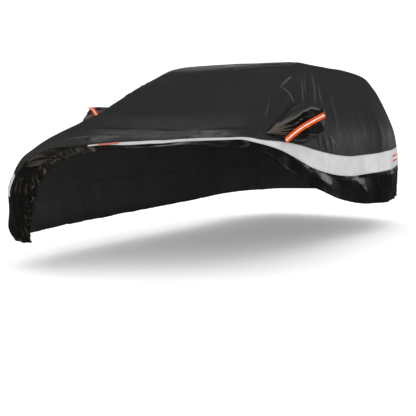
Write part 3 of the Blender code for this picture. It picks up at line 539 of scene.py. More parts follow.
def line(table, side, at):
    """The points of an edge line at these stations, on the form."""
    return onto_form(smooth_through(table, at) * (side, 1, 1), 8)


def between(start, end, shares):
    """Lines from start to end at these shares of the way, on the form."""
    shares = np.asarray(shares, float)
    shares = shares[:, None] if shares.ndim == 1 else shares
    return onto_form(start + (end - start) * shares[..., None])


def fill(top, bottom, left, right):
    """A grid of points on the form inside four edges; left and right run from top to bottom."""
    down = np.linspace(0, 1, len(left))[:, None, None]
    over = np.linspace(0, 1, len(top))[None, :, None]
    sides = left[:, None] * (1 - over) + right[:, None] * over
    ends = top[None] * (1 - down) + bottom[None] * down
    corners_left = top[0] * (1 - down) + bottom[0] * down
    corners_right = top[-1] * (1 - down) + bottom[-1] * down
    corners = corners_left * (1 - over) + corners_right * over
    grid = onto_form(sides + ends - corners)
    grid[0], grid[-1], grid[:, 0], grid[:, -1] = top, bottom, left, right
    return grid


def down_to_hem(start, end, rows):
    """Shares from start to end with even rows, and close ones over the hem."""
    length = np.linalg.norm(end - start, axis=1)
    squeeze = np.minimum(1, 0.5 * length / HEM_LEVELS[0])
    close = 1 - np.array(HEM_LEVELS)[:, None] * squeeze / length
    even = np.linspace(0, 1, rows + 1)[:-1, None] * close[:1]
    return np.vstack([even, close])


def run_lengths(grid, axis):
    """Distances along the grid's lines from their starts."""
    steps = np.linalg.norm(np.diff(grid, axis=axis), axis=-1)
    zero = np.zeros_like(np.take(steps, [0], axis=axis))
    return np.concatenate([zero, np.cumsum(steps, axis=axis)], axis=axis)


def edge_distances(grid):
    """Distance of each point to the grid's top, bottom, left and right edges."""
    down, over = run_lengths(grid, 0), run_lengths(grid, 1)
    return down, down[-1:] - down, over, over[:, -1:] - over


def over_hem(grid, reach):
    """Distances to the hem and along it, the hem's length, and 0 on the seams to 1 off them."""
    from_top, from_hem, run, left_over = edge_distances(grid)
    hem_run = np.broadcast_to(run[-1:], run.shape)
    return from_hem, hem_run, run[-1, -1], away_from((from_top, run, left_over), reach)


# -------------------------------- meshes

def linked(name, data):
    """A new object of the scene."""
    made = bpy.data.objects.new(name, data)
    bpy.context.scene.collection.objects.link(made)
    return made


def quads_of(grid):
    """A grid's faces, as corner numbers; an edge whose points meet becomes one corner."""
    rows, columns = grid.shape[:2]
    index = np.arange(rows * columns).reshape(rows, columns)
    if np.allclose(grid[:, 0], grid[:, -1], atol=1e-7):
        index[:, -1] = index[:, 0]
    for edge in (index[0], index[-1], index[:, 0], index[:, -1]):
        if np.ptp(grid.reshape(-1, 3)[edge], axis=0).max() < 1e-6:
            edge[:] = edge[0]
    a, b = index[:-1, :-1].ravel(), index[:-1, 1:].ravel()
    d, c = index[1:, :-1].ravel(), index[1:, 1:].ravel()
    faces = []
    for face in zip(a.tolist(), b.tolist(), c.tolist(), d.tolist()):
        corners = [v for i, v in enumerate(face) if v != face[i - 1]]
        if len(set(corners)) >= 3:
            faces.append(tuple(corners))
    return faces


def facing_of(points, faces):
    """Each corner's direction, from the faces that meet there."""
    total = np.zeros_like(points)
    for size in (3, 4):
        some = np.array([face for face in faces if len(face) == size])
        if len(some):
            first, second, third, last = (points[some[:, i]] for i in (0, 1, 2, -1))
            turn = np.cross(third - first, last - second)
            for i in range(size):
                np.add.at(total, some[:, i], turn)
    length = np.linalg.norm(total, axis=1, keepdims=True)
    return total / np.maximum(length, 1e-12)


def cloth(name, points, faces, out, finishes, values=None, thickness=THICKNESS, part_of=None):
    """A closed thin sheet from its outer points; its inner face takes the last finish.

    out points roughly outwards at each corner, values are numbers kept on the corners, and
    part_of gives each face's finish where the outer face has more than one.
    """
    normals = facing_of(points, faces)
    if (normals * out).sum() < 0:
        faces = [face[::-1] for face in faces]
        normals = -normals
    used = np.unique(np.concatenate([np.array(face) for face in faces]))
    number = np.full(len(points), -1)
    number[used] = np.arange(len(used))
    outer, normals = points[used], normals[used]
    inner = outer - normals * thickness
    faces = [tuple(number[list(face)]) for face in faces]
    count = len(outer)
    links = {(face[i - 1], corner): True for face in faces for i, corner in enumerate(face)}
    loose = [link for link in links if link[::-1] not in links]
    rim = [(b, a, count + a, count + b) for a, b in loose]
    under = [tuple(count + corner for corner in face[::-1]) for face in faces]
    mesh = bpy.data.meshes.new(name)
    everything = [[int(v) for v in face] for face in faces + rim + under]
    mesh.from_pydata((np.vstack([outer, inner]) - ORIGIN).tolist(), [], everything)
    mesh.shade_smooth()
    outer_finish = [0] * len(faces) if part_of is None else list(part_of)
    inside = len(finishes) - 1
    mesh.polygons.foreach_set(
        "material_index", outer_finish + [0] * len(rim) + [inside] * len(under)
    )
    for finish in finishes:
        mesh.materials.append(finish)
    rim_edges = {tuple(sorted(link)) for link in loose}
    rim_edges |= {tuple(sorted((a + count, b + count))) for a, b in loose}
    mesh.update()
    sharp = [tuple(sorted(edge.vertices)) in rim_edges for edge in mesh.edges]
    mesh.attributes.new("sharp_edge", "BOOLEAN", "EDGE").data.foreach_set("value", sharp)
    for key, value in (values or {}).items():
        value = np.asarray(value, float).reshape(-1)[used]
        layer = mesh.attributes.new(key, "FLOAT", "POINT")
        layer.data.foreach_set("value", np.concatenate([value, value]).astype(np.float32))
    piece = linked(name, mesh)
    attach(piece, "root")
    return piece


# -------------------------------- materials

SEWN_FOLD = (0.010, 0.013)  # how far from its seam a sewn fold begins and ends to fall away
SEAM_GROOVE = 0.0022
STITCH_ROW, STITCH_LENGTH, STITCH_SHARE = 0.0075, 0.0045, 0.68
THREAD = (0.0004, 0.0009)  # half a thread, with its soft edge
WEAVE_PITCH, WEAVE_TURN = 0.0011, (0.5, 0.6, 0.4)


class Nodes:
    """A node tree, with a short call for each kind of node."""

    def __init__(self, tree):
        self.tree = tree

    def feed(self, node, inputs):
        """Sets a node's inputs, each to a value or from another node's socket."""
        for key, value in inputs.items():
            if isinstance(value, bpy.types.NodeSocket):
                self.tree.links.new(value, node.inputs[key])
            else:
                node.inputs[key].default_value = value

    def add(self, kind, inputs=None, **settings):
        made = self.tree.nodes.new("ShaderNode" + kind)
        for key, value in settings.items():
            setattr(made, key, value)
        self.feed(made, inputs or {})
        return made

    def maths(self, operation, a, b=0.0):
        return self.add("Math", {0: a, 1: b}, operation=operation).outputs[0]

    def times(self, a, b):
        return self.maths("MULTIPLY", a, b)

    def less(self, a, b):
        return self.maths("SUBTRACT", a, b)

    def spread(self, value, low, high, to_low=0.0, to_high=1.0):
        """A value brought smoothly from one span to another."""
        inputs = {"Value": value, "From Min": low, "From Max": high}
        inputs |= {"To Min": to_low, "To Max": to_high}
        return self.add("MapRange", inputs, interpolation_type="SMOOTHSTEP").outputs[0]

    def blended(self, share, first, second):
        """A colour between two, each a colour or a socket."""
        inputs = {"Factor": share, 6: first, 7: second}
        return self.add("Mix", inputs, data_type="RGBA").outputs[2]

    def tinted(self, shade, mask, colour, most=1.0):
        """The shade with a colour over it where the mask is high, at most this strongly."""
        share = mask if most == 1.0 else self.times(mask, most)
        return self.blended(share, shade, colour)


class Finish(Nodes):
    """A material in the making; its noises lie in the object's own space."""

    def __init__(self, name):
        self.material = bpy.data.materials.new(name)
        self.material.use_nodes = True
        super().__init__(self.material.node_tree)
        self.shader = self.tree.nodes["Principled BSDF"]
        self.place = self.add("TexCoord").outputs["Object"]

    def kept(self, name):
        """A number that is kept on the cloth's corners, or 0 where a piece keeps none."""
        return self.add("Attribute", attribute_name=name).outputs["Fac"]

    def noisy(self, scale, detail=2.0, distortion=0.0, roughness=0.5, place=None):
        place = self.place if place is None else place
        inputs = {"Vector": place, "Scale": scale, "Detail": detail}
        inputs |= {"Distortion": distortion, "Roughness": roughness}
        return self.add("TexNoise", inputs).outputs["Fac"]

    def ridged(self, scale, detail, distortion, place=None):
        """Sharp crests, at most 1, along the lines where a noise passes through its middle."""
        level = self.less(self.noisy(scale, detail, distortion, place=place), 0.5)
        return self.less(1.0, self.times(self.maths("ABSOLUTE", level), 6.0))

    def weave(self):
        """Threads over and under each other, from 0 to 1."""
        turned = self.add("Mapping", {"Vector": self.place, "Rotation": WEAVE_TURN}).outputs[0]
        inputs = {"Vector": turned, "Scale": 1 / (2 * WEAVE_PITCH)}
        waves = [
            self.add("TexWave", inputs, bands_direction=axis).outputs["Fac"] for axis in "XY"
        ]
        return self.times(*waves)

    def stitching(self):
        """Masks of a seam's sewn fold, its groove and its thread, by the kept distances."""
        seam = self.kept("seam")
        fold = self.spread(seam, *SEWN_FOLD, 1.0, 0.0)
        groove = self.spread(seam, 0.0, SEAM_GROOVE, 1.0, 0.0)
        step = self.maths("FRACT", self.maths("DIVIDE", self.kept("run"), STITCH_LENGTH))
        dash = self.maths("LESS_THAN", step, STITCH_SHARE)
        row = self.maths("ABSOLUTE", self.less(seam, STITCH_ROW))
        return fold, groove, self.times(self.spread(row, *THREAD, 1.0, 0.0), dash)

    def sewn(self, fold, groove, thread, distance=0.0012, strength=0.9):
        """The bump layers of the stitching's masks."""
        relief = self.less(fold, self.times(groove, 1.5))
        return ((relief, distance, strength), (thread, 0.0006, 0.8))

    def done(self, shade, rough, specular, layers, **more):
        """The material, with bump layers one on the other: (height, distance, strength)."""
        under = {}
        for height, distance, strength in layers:
            inputs = {"Height": height, "Distance": distance, "Strength": strength}
            under = {"Normal": self.add("Bump", inputs | under).outputs[0]}
        inputs = {"Base Color": shade, "Roughness": rough, "Specular IOR Level": specular}
        inputs |= {key.replace("_", " "): value for key, value in more.items()}
        self.feed(self.shader, inputs | under)
        return self.material


def grey(value, warm=0.0):
    return (value * (1 + warm), value, value * (1 - warm), 1.0)


def charcoal_finish():
    """Matte coated cloth: fine weave, faint mottling, less rough and with a painted sheen where
    drawn taut, and painted highlight and shade along its folds.
    """
    made = Finish("charcoal_cloth")
    fold, groove, thread = made.stitching()
    tight_and_painted_sheen, painted_light_and_shade = made.kept("tight_and_painted_sheen"), made.kept("painted_light_and_shade")
    mottle = made.spread(made.noisy(3.2, 5.0, 0.4), 0.35, 0.65)
    shade = made.blended(mottle, grey(0.0203, 0.01), grey(0.0213))
    shade = made.tinted(shade, made.noisy(70.0, 3.0), grey(0.022, 0.01), 0.15)
    # Painted sheen: the colour lightens where the cloth is drawn tight, over the roll, the crumples
    # and the top's front edge.
    shade = made.tinted(shade, tight_and_painted_sheen, grey(0.100, 0.01))
    # Painted highlight on fold ridges and painted shade in fold grooves, from the kept fold lines.
    shade = made.tinted(shade, made.spread(painted_light_and_shade, 0.30, 1.0), grey(0.095, 0.02), 0.80)
    shade = made.tinted(shade, made.spread(painted_light_and_shade, -0.15, -0.60), grey(0.004, 0.02), 0.60)
    # Painted shade in the seam's groove.
    shade = made.tinted(shade, groove, grey(0.010), 0.7)
    shade = made.tinted(shade, thread, grey(0.060))
    rough = made.spread(made.noisy(11.0, 4.0), 0.3, 0.7, 0.40, 0.46)
    rough = made.less(rough, made.times(tight_and_painted_sheen, 0.12))
    layers = (
        (made.noisy(6.5, 5.0, 0.9, 0.55), 0.010, 0.06),
        (made.noisy(23.0, 4.0, 1.2), 0.002, 0.08),
        (made.weave(), 0.0003, 0.35),
        *made.sewn(fold, groove, thread),
    )
    return made.done(shade, rough, 0.25, layers, Sheen_Weight=0.02, Sheen_Roughness=0.45)


def gloss_finish():
    """Film-coated cloth: deep black and smooth, sharply creased where gathered, with painted warm
    glints on the creases and fold ridges.
    """
    made = Finish("gloss_black_cloth")
    fold, groove, thread = made.stitching()
    gather = made.kept("gather")
    beside_hem = {"X": made.kept("hem_run"), "Y": made.times(made.kept("hem_far"), 0.22)}
    beside_hem = made.add("CombineXYZ", beside_hem).outputs[0]
    pleated = made.ridged(30.0, 2.0, 0.5, beside_hem)
    crumpled = made.ridged(17.0, 2.0, 0.5)
    fine = made.ridged(52.0, 1.0, 0.3)
    soft = made.noisy(4.0, 1.0, 0.3)
    # Painted warm glints on the crumples' crests, where the cloth is gathered.
    painted_crease_glint = made.times(made.spread(crumpled, 0.78, 1.0), gather)
    # Painted glints along the crests of the pleats, the pocket's folds and its welts.
    painted_glints = made.spread(made.kept("painted_light_and_shade"), 0.45, 1.0)
    shade = made.blended(made.spread(soft, 0.3, 0.7), grey(0.0035, 0.04), grey(0.0050, 0.04))
    shade = made.tinted(shade, painted_crease_glint, (0.014, 0.0105, 0.007, 1.0))
    shade = made.tinted(shade, painted_glints, (0.105, 0.090, 0.070, 1.0), 0.80)
    # Painted shade in the seam's groove.
    shade = made.tinted(shade, groove, grey(0.002), 0.8)
    shade = made.tinted(shade, thread, grey(0.030))
    rough = made.spread(made.noisy(13.0, 4.0), 0.3, 0.7, 0.17, 0.30)
    close = made.spread(gather, 0.25, 1.0)
    layers = (
        (soft, 0.010, 0.08),
        (made.times(pleated, gather), 0.006, 0.45),
        (made.times(crumpled, close), 0.006, 0.35),
        (made.times(fine, close), 0.0015, 0.30),
        (made.noisy(260.0, 2.0), 0.0001, 0.05),
        *made.sewn(fold, groove, thread),
    )
    return made.done(shade, rough, 0.50, layers, Specular_Tint=(1.0, 0.92, 0.82, 1.0))


def silver_finish():
    """Light reflective cloth: tiny beads in a satin ground, faintly creased and mottled."""
    made = Finish("silver_reflective")
    fold, groove, thread = made.stitching()
    mottle = made.noisy(5.5, 5.0, 0.8)
    beads = made.add("TexVoronoi", {"Vector": made.place, "Scale": 620.0}, feature="F1")
    beads = beads.outputs["Distance"]
    cloudy = made.spread(mottle, 0.35, 0.68)
    shade = made.blended(cloudy, (0.545, 0.547, 0.551, 1.0), grey(0.610))
    shade = made.tinted(shade, beads, grey(0.38), 0.10)
    shade = made.tinted(shade, fold, grey(0.36), 0.10)
    # Painted shade in the seam's groove.
    shade = made.tinted(shade, groove, grey(0.14))
    shade = made.tinted(shade, thread, grey(0.30))
    rough = made.spread(mottle, 0.3, 0.7, 0.38, 0.55)
    layers = (
        (made.noisy(8.0, 5.0, 1.0), 0.010, 0.20),
        (made.noisy(30.0, 3.0, 1.0), 0.002, 0.25),
        (beads, 0.0002, 0.35),
        *made.sewn(fold, groove, thread, 0.0010, 0.8),
    )
    return made.done(shade, rough, 0.55, layers)


def tape_finish(name, light, dark, roughness):
    """Ribbed woven tape."""
    made = Finish(name)
    ribs, wear = made.noisy(520.0, 2.0), made.noisy(36.0, 4.0)
    shade = made.blended(made.spread(wear, 0.3, 0.75), light, dark)
    shade = made.tinted(shade, ribs, dark, 0.25)
    rough = made.spread(wear, 0.3, 0.7, roughness - 0.06, roughness + 0.08)
    return made.done(shade, rough, 0.15, ((wear, 0.0012, 0.35), (ribs, 0.0003, 0.5)))


def inner_finish():
    """The cloth's dull, faintly fibrous back."""
    made = Finish("cloth_back")
    fibres, cloudy = made.noisy(240.0, 5.0, 0.5), made.noisy(4.0, 4.0)
    shade = made.blended(made.spread(cloudy, 0.3, 0.7), grey(0.026), grey(0.034))
    shade = made.tinted(shade, fibres, grey(0.045), 0.3)
    rough = made.spread(fibres, 0.3, 0.7, 0.90, 0.98)
    return made.done(shade, rough, 0.25, ((cloudy, 0.008, 0.3), (fibres, 0.0006, 0.5)))


CHARCOAL = charcoal_finish()
GLOSS = gloss_finish()
SILVER = silver_finish()
BACK = inner_finish()
ORANGE = tape_finish("orange_tape", (0.74, 0.090, 0.004, 1), (0.58, 0.056, 0.003, 1), 0.66)
WHITE = tape_finish("white_reflective_line", (0.86, 0.86, 0.85, 1), grey(0.62), 0.35)

# -------------------------------- the cloth's relief

FAR_CORNER_SHARE = 0.85  # how strong the corner's folds are on the right
RIPPLE_RISE, RIPPLE_SIZE, RIPPLE_SEED = 0.0022, 0.16, 5
PUCKER_RISE, PUCKER_ALONG, PUCKER_DEEP, PUCKER_SEED = 0.0012, 0.030, 0.2, 9
PUCKER_START, PUCKER_REACH = 0.012, 0.030
BAND_RISE, BAND_SIZE, BAND_SEED = 0.0012, 0.045, 12
FACET_SEED = 41
HEM_TUBE_AT, HEM_TUBE_HALF = 0.014, 0.013  # the elastic's tube, over the hem's edge
HEM_ENDS = 0.06  # the hem flattens this near its ends
HEM_GATHERS = (  # rise, how far apart, how far up it fades, seed
    (0.0075, 0.105, 0.080, 21), (0.0050, 0.045, 0.040, 22), (0.0026, 0.018, 0.022, 23),
)
CALM_AT_SEAM, CALM_AT_SKIRT_SEAM = 0.02, 0.03  # fine relief fades this near a seam
CRUMPLE_RISE, CRUMPLE_SIZE, CRUMPLE_SEED = 0.0150, 0.075, 51
# The crumples add to the tight cloth's painted sheen, and paint highlight and shade along their
# creases.
CRUMPLE_PAINTED_SHEEN, CRUMPLE_PAINTED_SHADING = 0.60, 3.0
GATHER_REACH, GATHER_MORE, GATHER_MORE_AT = 0.12, 0.09, (0.58, 0.72)  # higher up it reaches more
PLEAT_RISE, PLEAT_APART, PLEAT_LONG, PLEAT_SEED = 0.0075, 0.024, 0.16, 61
PLEAT_PAINTED_GLINTS = (0.28, 0.58)  # the creases' rise from where a painted glint starts on them to where it is full
SKIRT_GATHER, SKIRT_GATHER_REACH, TAIL_GATHER_REACH = 0.7, 0.07, 0.12
NOSE_RISE, NOSE_SIZE, NOSE_SEED = 0.0030, 0.040, 63
TAIL_RISE, TAIL_SIZE, TAIL_SEED = 0.0035, 0.080, 61


def cloth_rise(points, more=()):
    """The relief that neighbours share along their seams, and a table's folds over it."""
    rise = main_folds(points)
    rise += narrow_folds(points, more)
    rise += narrow_folds(points, CORNER_FOLDS)
    rise += FAR_CORNER_SHARE * narrow_folds(points, CORNER_FOLDS, RIGHT)
    rise += narrow_folds(points, TOP_FOLDS)
    rise += RIPPLE_RISE * noise(points / RIPPLE_SIZE, RIPPLE_SEED)
    return rise


def pucker(grid):
    """The small puckers that sewing draws along a grid's top and bottom."""
    from_top, from_bottom, run, _ = edge_distances(grid)
    place = np.stack([run / PUCKER_ALONG, from_bottom / PUCKER_DEEP, 0 * run], -1)
    beside = np.minimum(from_top, from_bottom)
    fade = smoothstep(0, PUCKER_START, beside) * np.exp(-beside / PUCKER_REACH)
    return PUCKER_RISE * noise(place, PUCKER_SEED) * fade


def hem_rise(from_hem, run, whole, strength=1.0):
    """The elastic hem: a soft tube along the edge, and the gathers that fan up from it."""
    round_tube = 1 - ((from_hem - HEM_TUBE_AT) / HEM_TUBE_HALF) ** 2
    rise = HEM_BULGE * np.sqrt(np.maximum(0, round_tube))
    place = np.stack([run, 0.15 * from_hem, 0 * run], -1)
    for most, apart, fade, seed in HEM_GATHERS:
        rise = rise + most * noise(place / apart, seed) * np.exp(-from_hem / fade)
    return strength * away_from((run, whole - run), HEM_ENDS) * rise


def nose_relief(grid, from_hem, hem_run, off):
    """The rise of the nose's drawn-up cloth, how gathered it is, and the painted glints on its
    creases.
    """
    reach = GATHER_REACH + GATHER_MORE * smoothstep(*GATHER_MORE_AT, grid[..., 2])
    gather = smoothstep(reach, 0.6 * reach, from_hem)
    creases = pleats(hem_run, from_hem, PLEAT_APART, PLEAT_LONG, PLEAT_SEED) * gather * off
    rise = PLEAT_RISE * creases
    rise += NOSE_RISE * crinkles(grid, NOSE_SIZE, NOSE_SEED) * gather * off
    return rise, 0.10 + 0.90 * gather, smoothstep(*PLEAT_PAINTED_GLINTS, creases)


def tail_relief(grid, from_hem, hem_run, off):
    """The same for the tail, whose cloth hangs more smoothly and has no painted glints on its
    creases.
    """
    rise = TAIL_RISE * crinkles(grid, TAIL_SIZE, TAIL_SEED) * off
    return rise, np.clip(1.1 - from_hem / TAIL_GATHER_REACH, 0.15, 1), 0 * hem_run


# -------------------------------- the panels

def seam_values(grid, edges):
    """The kept distances: to the nearest seam among these edges, and along it."""
    top, bottom, left, right = edge_distances(grid)
    named = {"top": top, "bottom": bottom, "left": left, "right": right}
    seam = np.min([named[edge] for edge in edges], axis=0)
    beside = np.minimum(top, bottom) <= np.minimum(left, right)
    return seam, np.where(beside, left, top)


def make_panel(node, grid, rise, outer, edges, values=None):
    """A cloth piece over a grid on the form, raised by this much, in place of its solid."""
    points = grid.reshape(-1, 3)
    normals, _ = outward(points)
    raised = points + normals * rise.reshape(-1, 1)
    seam, run = seam_values(grid, edges)
    kept = {"seam": seam, "run": run} | (values or {})
    piece = cloth(f"{node}_cloth", raised, quads_of(grid), normals, (outer, BACK), kept)
    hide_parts(node)
    return piece


def make_upper(side, word, grid):
    rise = cloth_rise(grid) + pucker(grid)
    # Painted highlight and shade along the corner's folds.
    kept = {"painted_light_and_shade": painted_fold_shading(grid, ((CORNER_FOLDS, side),))}
    edges = ("top", "bottom")
    piece = make_panel(f"side_panel_{word}", grid, rise, CHARCOAL, edges, kept)
    cut_pocket_hole(piece, side)
    return piece


def make_band(word, grid):
    """A band, and the relief that its tapes lie on."""
    from_top, from_bottom, _, _ = edge_distances(grid)
    off = away_from((np.minimum(from_top, from_bottom),), CALM_AT_SEAM)
    rise = cloth_rise(grid)
    rise += BAND_RISE * noise(grid / BAND_SIZE, BAND_SEED) * off
    return make_panel(f"band_{word}", grid, rise, SILVER, ("top", "bottom")), rise


def make_skirt(side, word, grid):
    from_hem, hem_run, whole, off = over_hem(grid, CALM_AT_SKIRT_SEAM)
    size, facets = SKIRT_FACETS[side]
    rise = cloth_rise(grid)
    rise += narrow_folds(grid, SKIRT_FOLDS if side == LEFT else FAR_SKIRT_FOLDS, side) * off
    rise += facets * noise(grid / size, FACET_SEED) * off
    rise += hem_rise(from_hem, hem_run, whole, HEM_STRENGTH[side])
    close_up = np.clip(1 - from_hem / SKIRT_GATHER_REACH, 0, 1)
    gather = SKIRT_GATHER * HEM_STRENGTH[side] * close_up
    kept = {"gather": gather, "hem_run": hem_run, "hem_far": from_hem}
    return make_panel(f"skirt_{word}", grid, rise, GLOSS, ("top",), kept)


def make_side(side, word):
    """One side's cloth; gives what its neighbours share."""
    if side == LEFT:
        tables, seam_table = (LIFTED_BAND_TOP, LIFTED_BAND_BOTTOM, LIFTED_HEM), TOP_SEAM
    else:
        tables, seam_table = (FULL_BAND_TOP, FULL_BAND_BOTTOM, FULL_HEM), FULL_SEAM_FRONT + TOP_SEAM
    at = at_stations()
    seam_at = at_stations(seam_table[0][0])
    first = len(at) - len(seam_at)
    band_top, band_bottom, hem = (line(table, side, at) for table in tables)
    seam = np.vstack([band_top[:first], line(seam_table, side, seam_at)])
    upper = between(seam[first:], band_top[first:], np.linspace(0, 1, SIDE_ROWS[side] + 1))
    band = between(band_top, band_bottom, np.linspace(0, 1, BAND_ROWS + 1))
    skirt = between(band_bottom, hem, down_to_hem(band_bottom, hem, SKIRT_ROWS))
    front, rear = (np.concatenate([band[:, end], skirt[1:, end]]) for end in (0, -1))
    upper_piece = make_upper(side, word, upper)
    band_piece, band_rise = make_band(word, band)
    return {
        "seam": seam, "front": front, "rear": rear, "band": band, "band_rise": band_rise,
        "side": upper_piece, "band_piece": band_piece, "skirt": make_skirt(side, word, skirt),
    }


def make_top(left, right):
    over = at_stations(0, TOP_STEPS)
    ends = (line(table, LEFT, over) for table in (FRONT_TOP, REAR_TOP))
    grid = fill(*ends, left["seam"], right["seam"])
    from_front, _, from_left, _ = edge_distances(grid)
    off = away_from((from_front, from_left), CALM_AT_SEAM)
    crumpled = patches(grid, ROLL_CRUMPLES)
    creases = crinkles(grid, CRUMPLE_SIZE, CRUMPLE_SEED, TWO_OCTAVES) * crumpled * off
    rise = cloth_rise(grid) + CRUMPLE_RISE * creases
    # Painted highlight and shade along the folds, and along the crumples' creases.
    painted_light_and_shade = painted_fold_shading(grid, ((CORNER_FOLDS, LEFT), (CORNER_FOLDS, RIGHT), (TOP_FOLDS, LEFT)))
    painted_light_and_shade += CRUMPLE_PAINTED_SHADING * creases
    # How tight the cloth is drawn: it lowers roughness, and paints a sheen into the colour.
    tight_and_painted_sheen = np.clip(CRUMPLE_PAINTED_SHEEN * crumpled + patches(grid, TIGHT_AND_PAINTED_SHEEN), 0, 1)
    kept = {"tight_and_painted_sheen": tight_and_painted_sheen, "painted_light_and_shade": painted_light_and_shade}
    edges = ("top", "bottom", "left", "right")
    return make_panel("centre_panel", grid, rise, CHARCOAL, edges, kept)


def make_end(word, tables, steps, relief, left, right):
    """The front or the rear panel, with its own relief, between the sides."""
    over = at_stations(0, steps)
    grid = fill(*(line(table, LEFT, over) for table in tables), left[word], right[word])
    from_hem, hem_run, whole, off = over_hem(grid, CALM_AT_SEAM)
    more, gather, painted_light_and_shade = relief(grid, from_hem, hem_run, off)
    rise = cloth_rise(grid, NOSE_FOLDS) + more + hem_rise(from_hem, hem_run, whole)
    kept = {"gather": gather, "hem_run": hem_run, "hem_far": from_hem, "painted_light_and_shade": painted_light_and_shade}
    edges = ("top", "left", "right")
    return make_panel(f"{word}_panel", grid, rise, GLOSS, edges, kept)


# -------------------------------- the mirror pockets

POCKET_SIDES, POCKET_ROWS = 192, 36  # round it, and from the foot to the outer end
TIP_ROWS, CAP_ROWS = 5, 10  # over the outer end's rounded edge, and on to its middle
TIP_SHRINK = 0.84  # the outer end's flat part
FOOT_SUNK, FOOT_PROUD = 0.004, 0.0005
BAG_SWELL, BAG_RISE, BAG_SEED = 0.010, 0.002, 31
TIP_DOME, TIP_RISE, TIP_CREASES, TIP_SEED = 0.006, 0.004, 0.07, 33
FOOT_PLEATS, FOOT_PLEAT_RISE, FOOT_PLEAT_REACH = 26, 0.021, 0.10
# The narrowest painted glint along a bag's fold.
NARROWEST_PAINTED_GLINT = 0.010
HOOD_LINE = (  # along, height: the lower edge of a pocket's matte top
    (-1.400, 0.930), (-1.285, 0.950), (-1.100, 1.008), (-0.936, 1.062), (-0.861, 1.100),
    (-0.804, 1.120), (-0.696, 1.112), (-0.600, 1.150), (-0.400, 1.250),
)
HOOD_WELTS = (  # under the line, rise, half width, and where along it fades in and out
    (0.000, 0.012, 0.009, -1.25, -0.66), (0.045, 0.008, 0.010, -1.02, -0.80),
)
WELT_FADE, WELT_WAY = 0.08, (0.75, 0.0, 0.45)
POCKET_FOLDS = (  # angle in turns and share of the way out, at the start and end; width, rise
    (0.492, 0.06, 0.408, 0.96, 0.011, 0.009),
    (0.498, 0.06, 0.445, 0.92, 0.010, 0.008),
    (0.503, 0.06, 0.478, 0.96, 0.009, 0.009),
    (0.508, 0.08, 0.512, 0.92, 0.010, 0.009),
    (0.514, 0.08, 0.552, 0.96, 0.011, 0.009),
    (0.520, 0.08, 0.598, 0.92, 0.012, 0.008),
    (0.530, 0.10, 0.650, 0.95, 0.014, 0.008),
    (0.300, 0.10, 0.280, 0.95, 0.030, 0.008),
    (0.360, 0.15, 0.325, 0.90, 0.018, 0.006),
    (0.640, 0.10, 0.720, 0.95, 0.022, 0.008),
    (0.760, 0.10, 0.780, 0.90, 0.030, 0.008),
    (0.860, 0.10, 0.860, 0.90, 0.028, 0.006),
    (0.950, 0.10, 0.960, 0.90, 0.030, 0.007),
    (0.060, 0.10, 0.050, 0.92, 0.028, 0.006),
    (0.150, 0.10, 0.150, 0.90, 0.030, 0.006),
    (0.220, 0.15, 0.210, 0.92, 0.028, 0.007),
)
HOLE_SIDES, HOLE_FROM, HOLE_TO = 96, 0.60, 1.15
BEYOND_ALL, HALVINGS = 1.3, 30  # where the search for the form's side starts, and its steps
BAG_MIDDLE = 0.80


def signed_power(value, power):
    return np.sign(value) * np.abs(value) ** power


def pocket_foot(angle, side):
    """The foot's outline, as along and height."""
    c, s = np.cos(angle), np.sin(angle)
    front = c < 0
    forward = POCKET_FORWARD[side] * signed_power(c, POCKET_TAPER)
    along = POCKET_FOOT_ALONG + np.where(front, forward, POCKET_BACK * c)
    above = POCKET_UP * np.where(front, signed_power(s, POCKET_TOP_TAPER), s)
    below = POCKET_DOWN * np.where(front, signed_power(s, POCKET_TAPER), s)
    height = POCKET_FOOT_HEIGHT + np.where(s > 0, above, below)
    return np.column_stack([along, height - POCKET_DROOP[side] * np.where(front, c**2, 0)])


def across_at(along, height):
    """How far out the form's left side is at these places."""
    near, far = np.zeros_like(along), np.full_like(along, BEYOND_ALL)
    for _ in range(HALVINGS):
        middle = (near + far) / 2
        inside = outside(np.stack([middle, along, height], -1)) < 0
        near, far = np.where(inside, middle, near), np.where(inside, far, middle)
    return (near + far) / 2


def tip_ring(angle, size, back):
    """A ring of the outer end, of this size and set back this far."""
    along = POCKET_TIP_LONG * size * signed_power(np.cos(angle), POCKET_TIP_SQUARE)
    height = POCKET_TIP_TALL * size * signed_power(np.sin(angle), POCKET_TIP_SQUARE)
    across = POCKET_TIP_TURN * along - back
    return np.stack([across, along, height], -1) + POCKET_TIP


def over_hood_line(points):
    return points[..., 2] - smooth_through(HOOD_LINE, points[..., 1])[..., 0]


def hood_welts(points):
    """How far the folded lower edge of the pocket's matte top stands out."""
    rise = 0.0
    for under, most, width, start, end in HOOD_WELTS:
        fade = smoothstep(start, start + WELT_FADE, points[..., 1])
        fade *= smoothstep(end, end - WELT_FADE, points[..., 1])
        rise = rise + most * fade * np.exp(-(((over_hood_line(points) + under) / width) ** 2))
    return rise


def bag_folds(turns, share):
    """The rise of a bag's folds and the painted glints along their ridges, this share of the way
    out.
    """
    rise, painted_glints = 0 * turns, 0 * turns
    for start, low, end, high, width, most in POCKET_FOLDS:
        way = (share - low) / (high - low)
        gap = (turns - (start + (end - start) * np.clip(way, 0, 1)) + 0.5) % 1.0 - 0.5
        body = math.sin(math.pi * np.clip(0.1 + 0.8 * way, 0, 1))
        painted_glint_width = PAINTED_LINE_NARROWER * min(width, NARROWEST_PAINTED_GLINT)
        rise += most * body * np.exp(-np.abs(gap / width) ** 1.5)
        painted_glints += body * np.exp(-np.abs(gap / painted_glint_width) ** 1.5)
    return rise, painted_glints


def bag_creases(angle, share):
    """The rise of a bag's gathers at the foot, its small creases and its swell."""
    wave = np.cos(angle * FOOT_PLEATS + 2.0 * np.sin(3 * angle))
    rise = FOOT_PLEAT_RISE * wave * share * math.exp(-share / FOOT_PLEAT_REACH)
    place = np.stack([6 * np.cos(angle), 6 * np.sin(angle), 0 * angle + 5 * share], -1)
    middle = math.sin(math.pi * share)
    return rise + (BAG_RISE * crinkles(place, 1.0, BAG_SEED) + BAG_SWELL) * middle


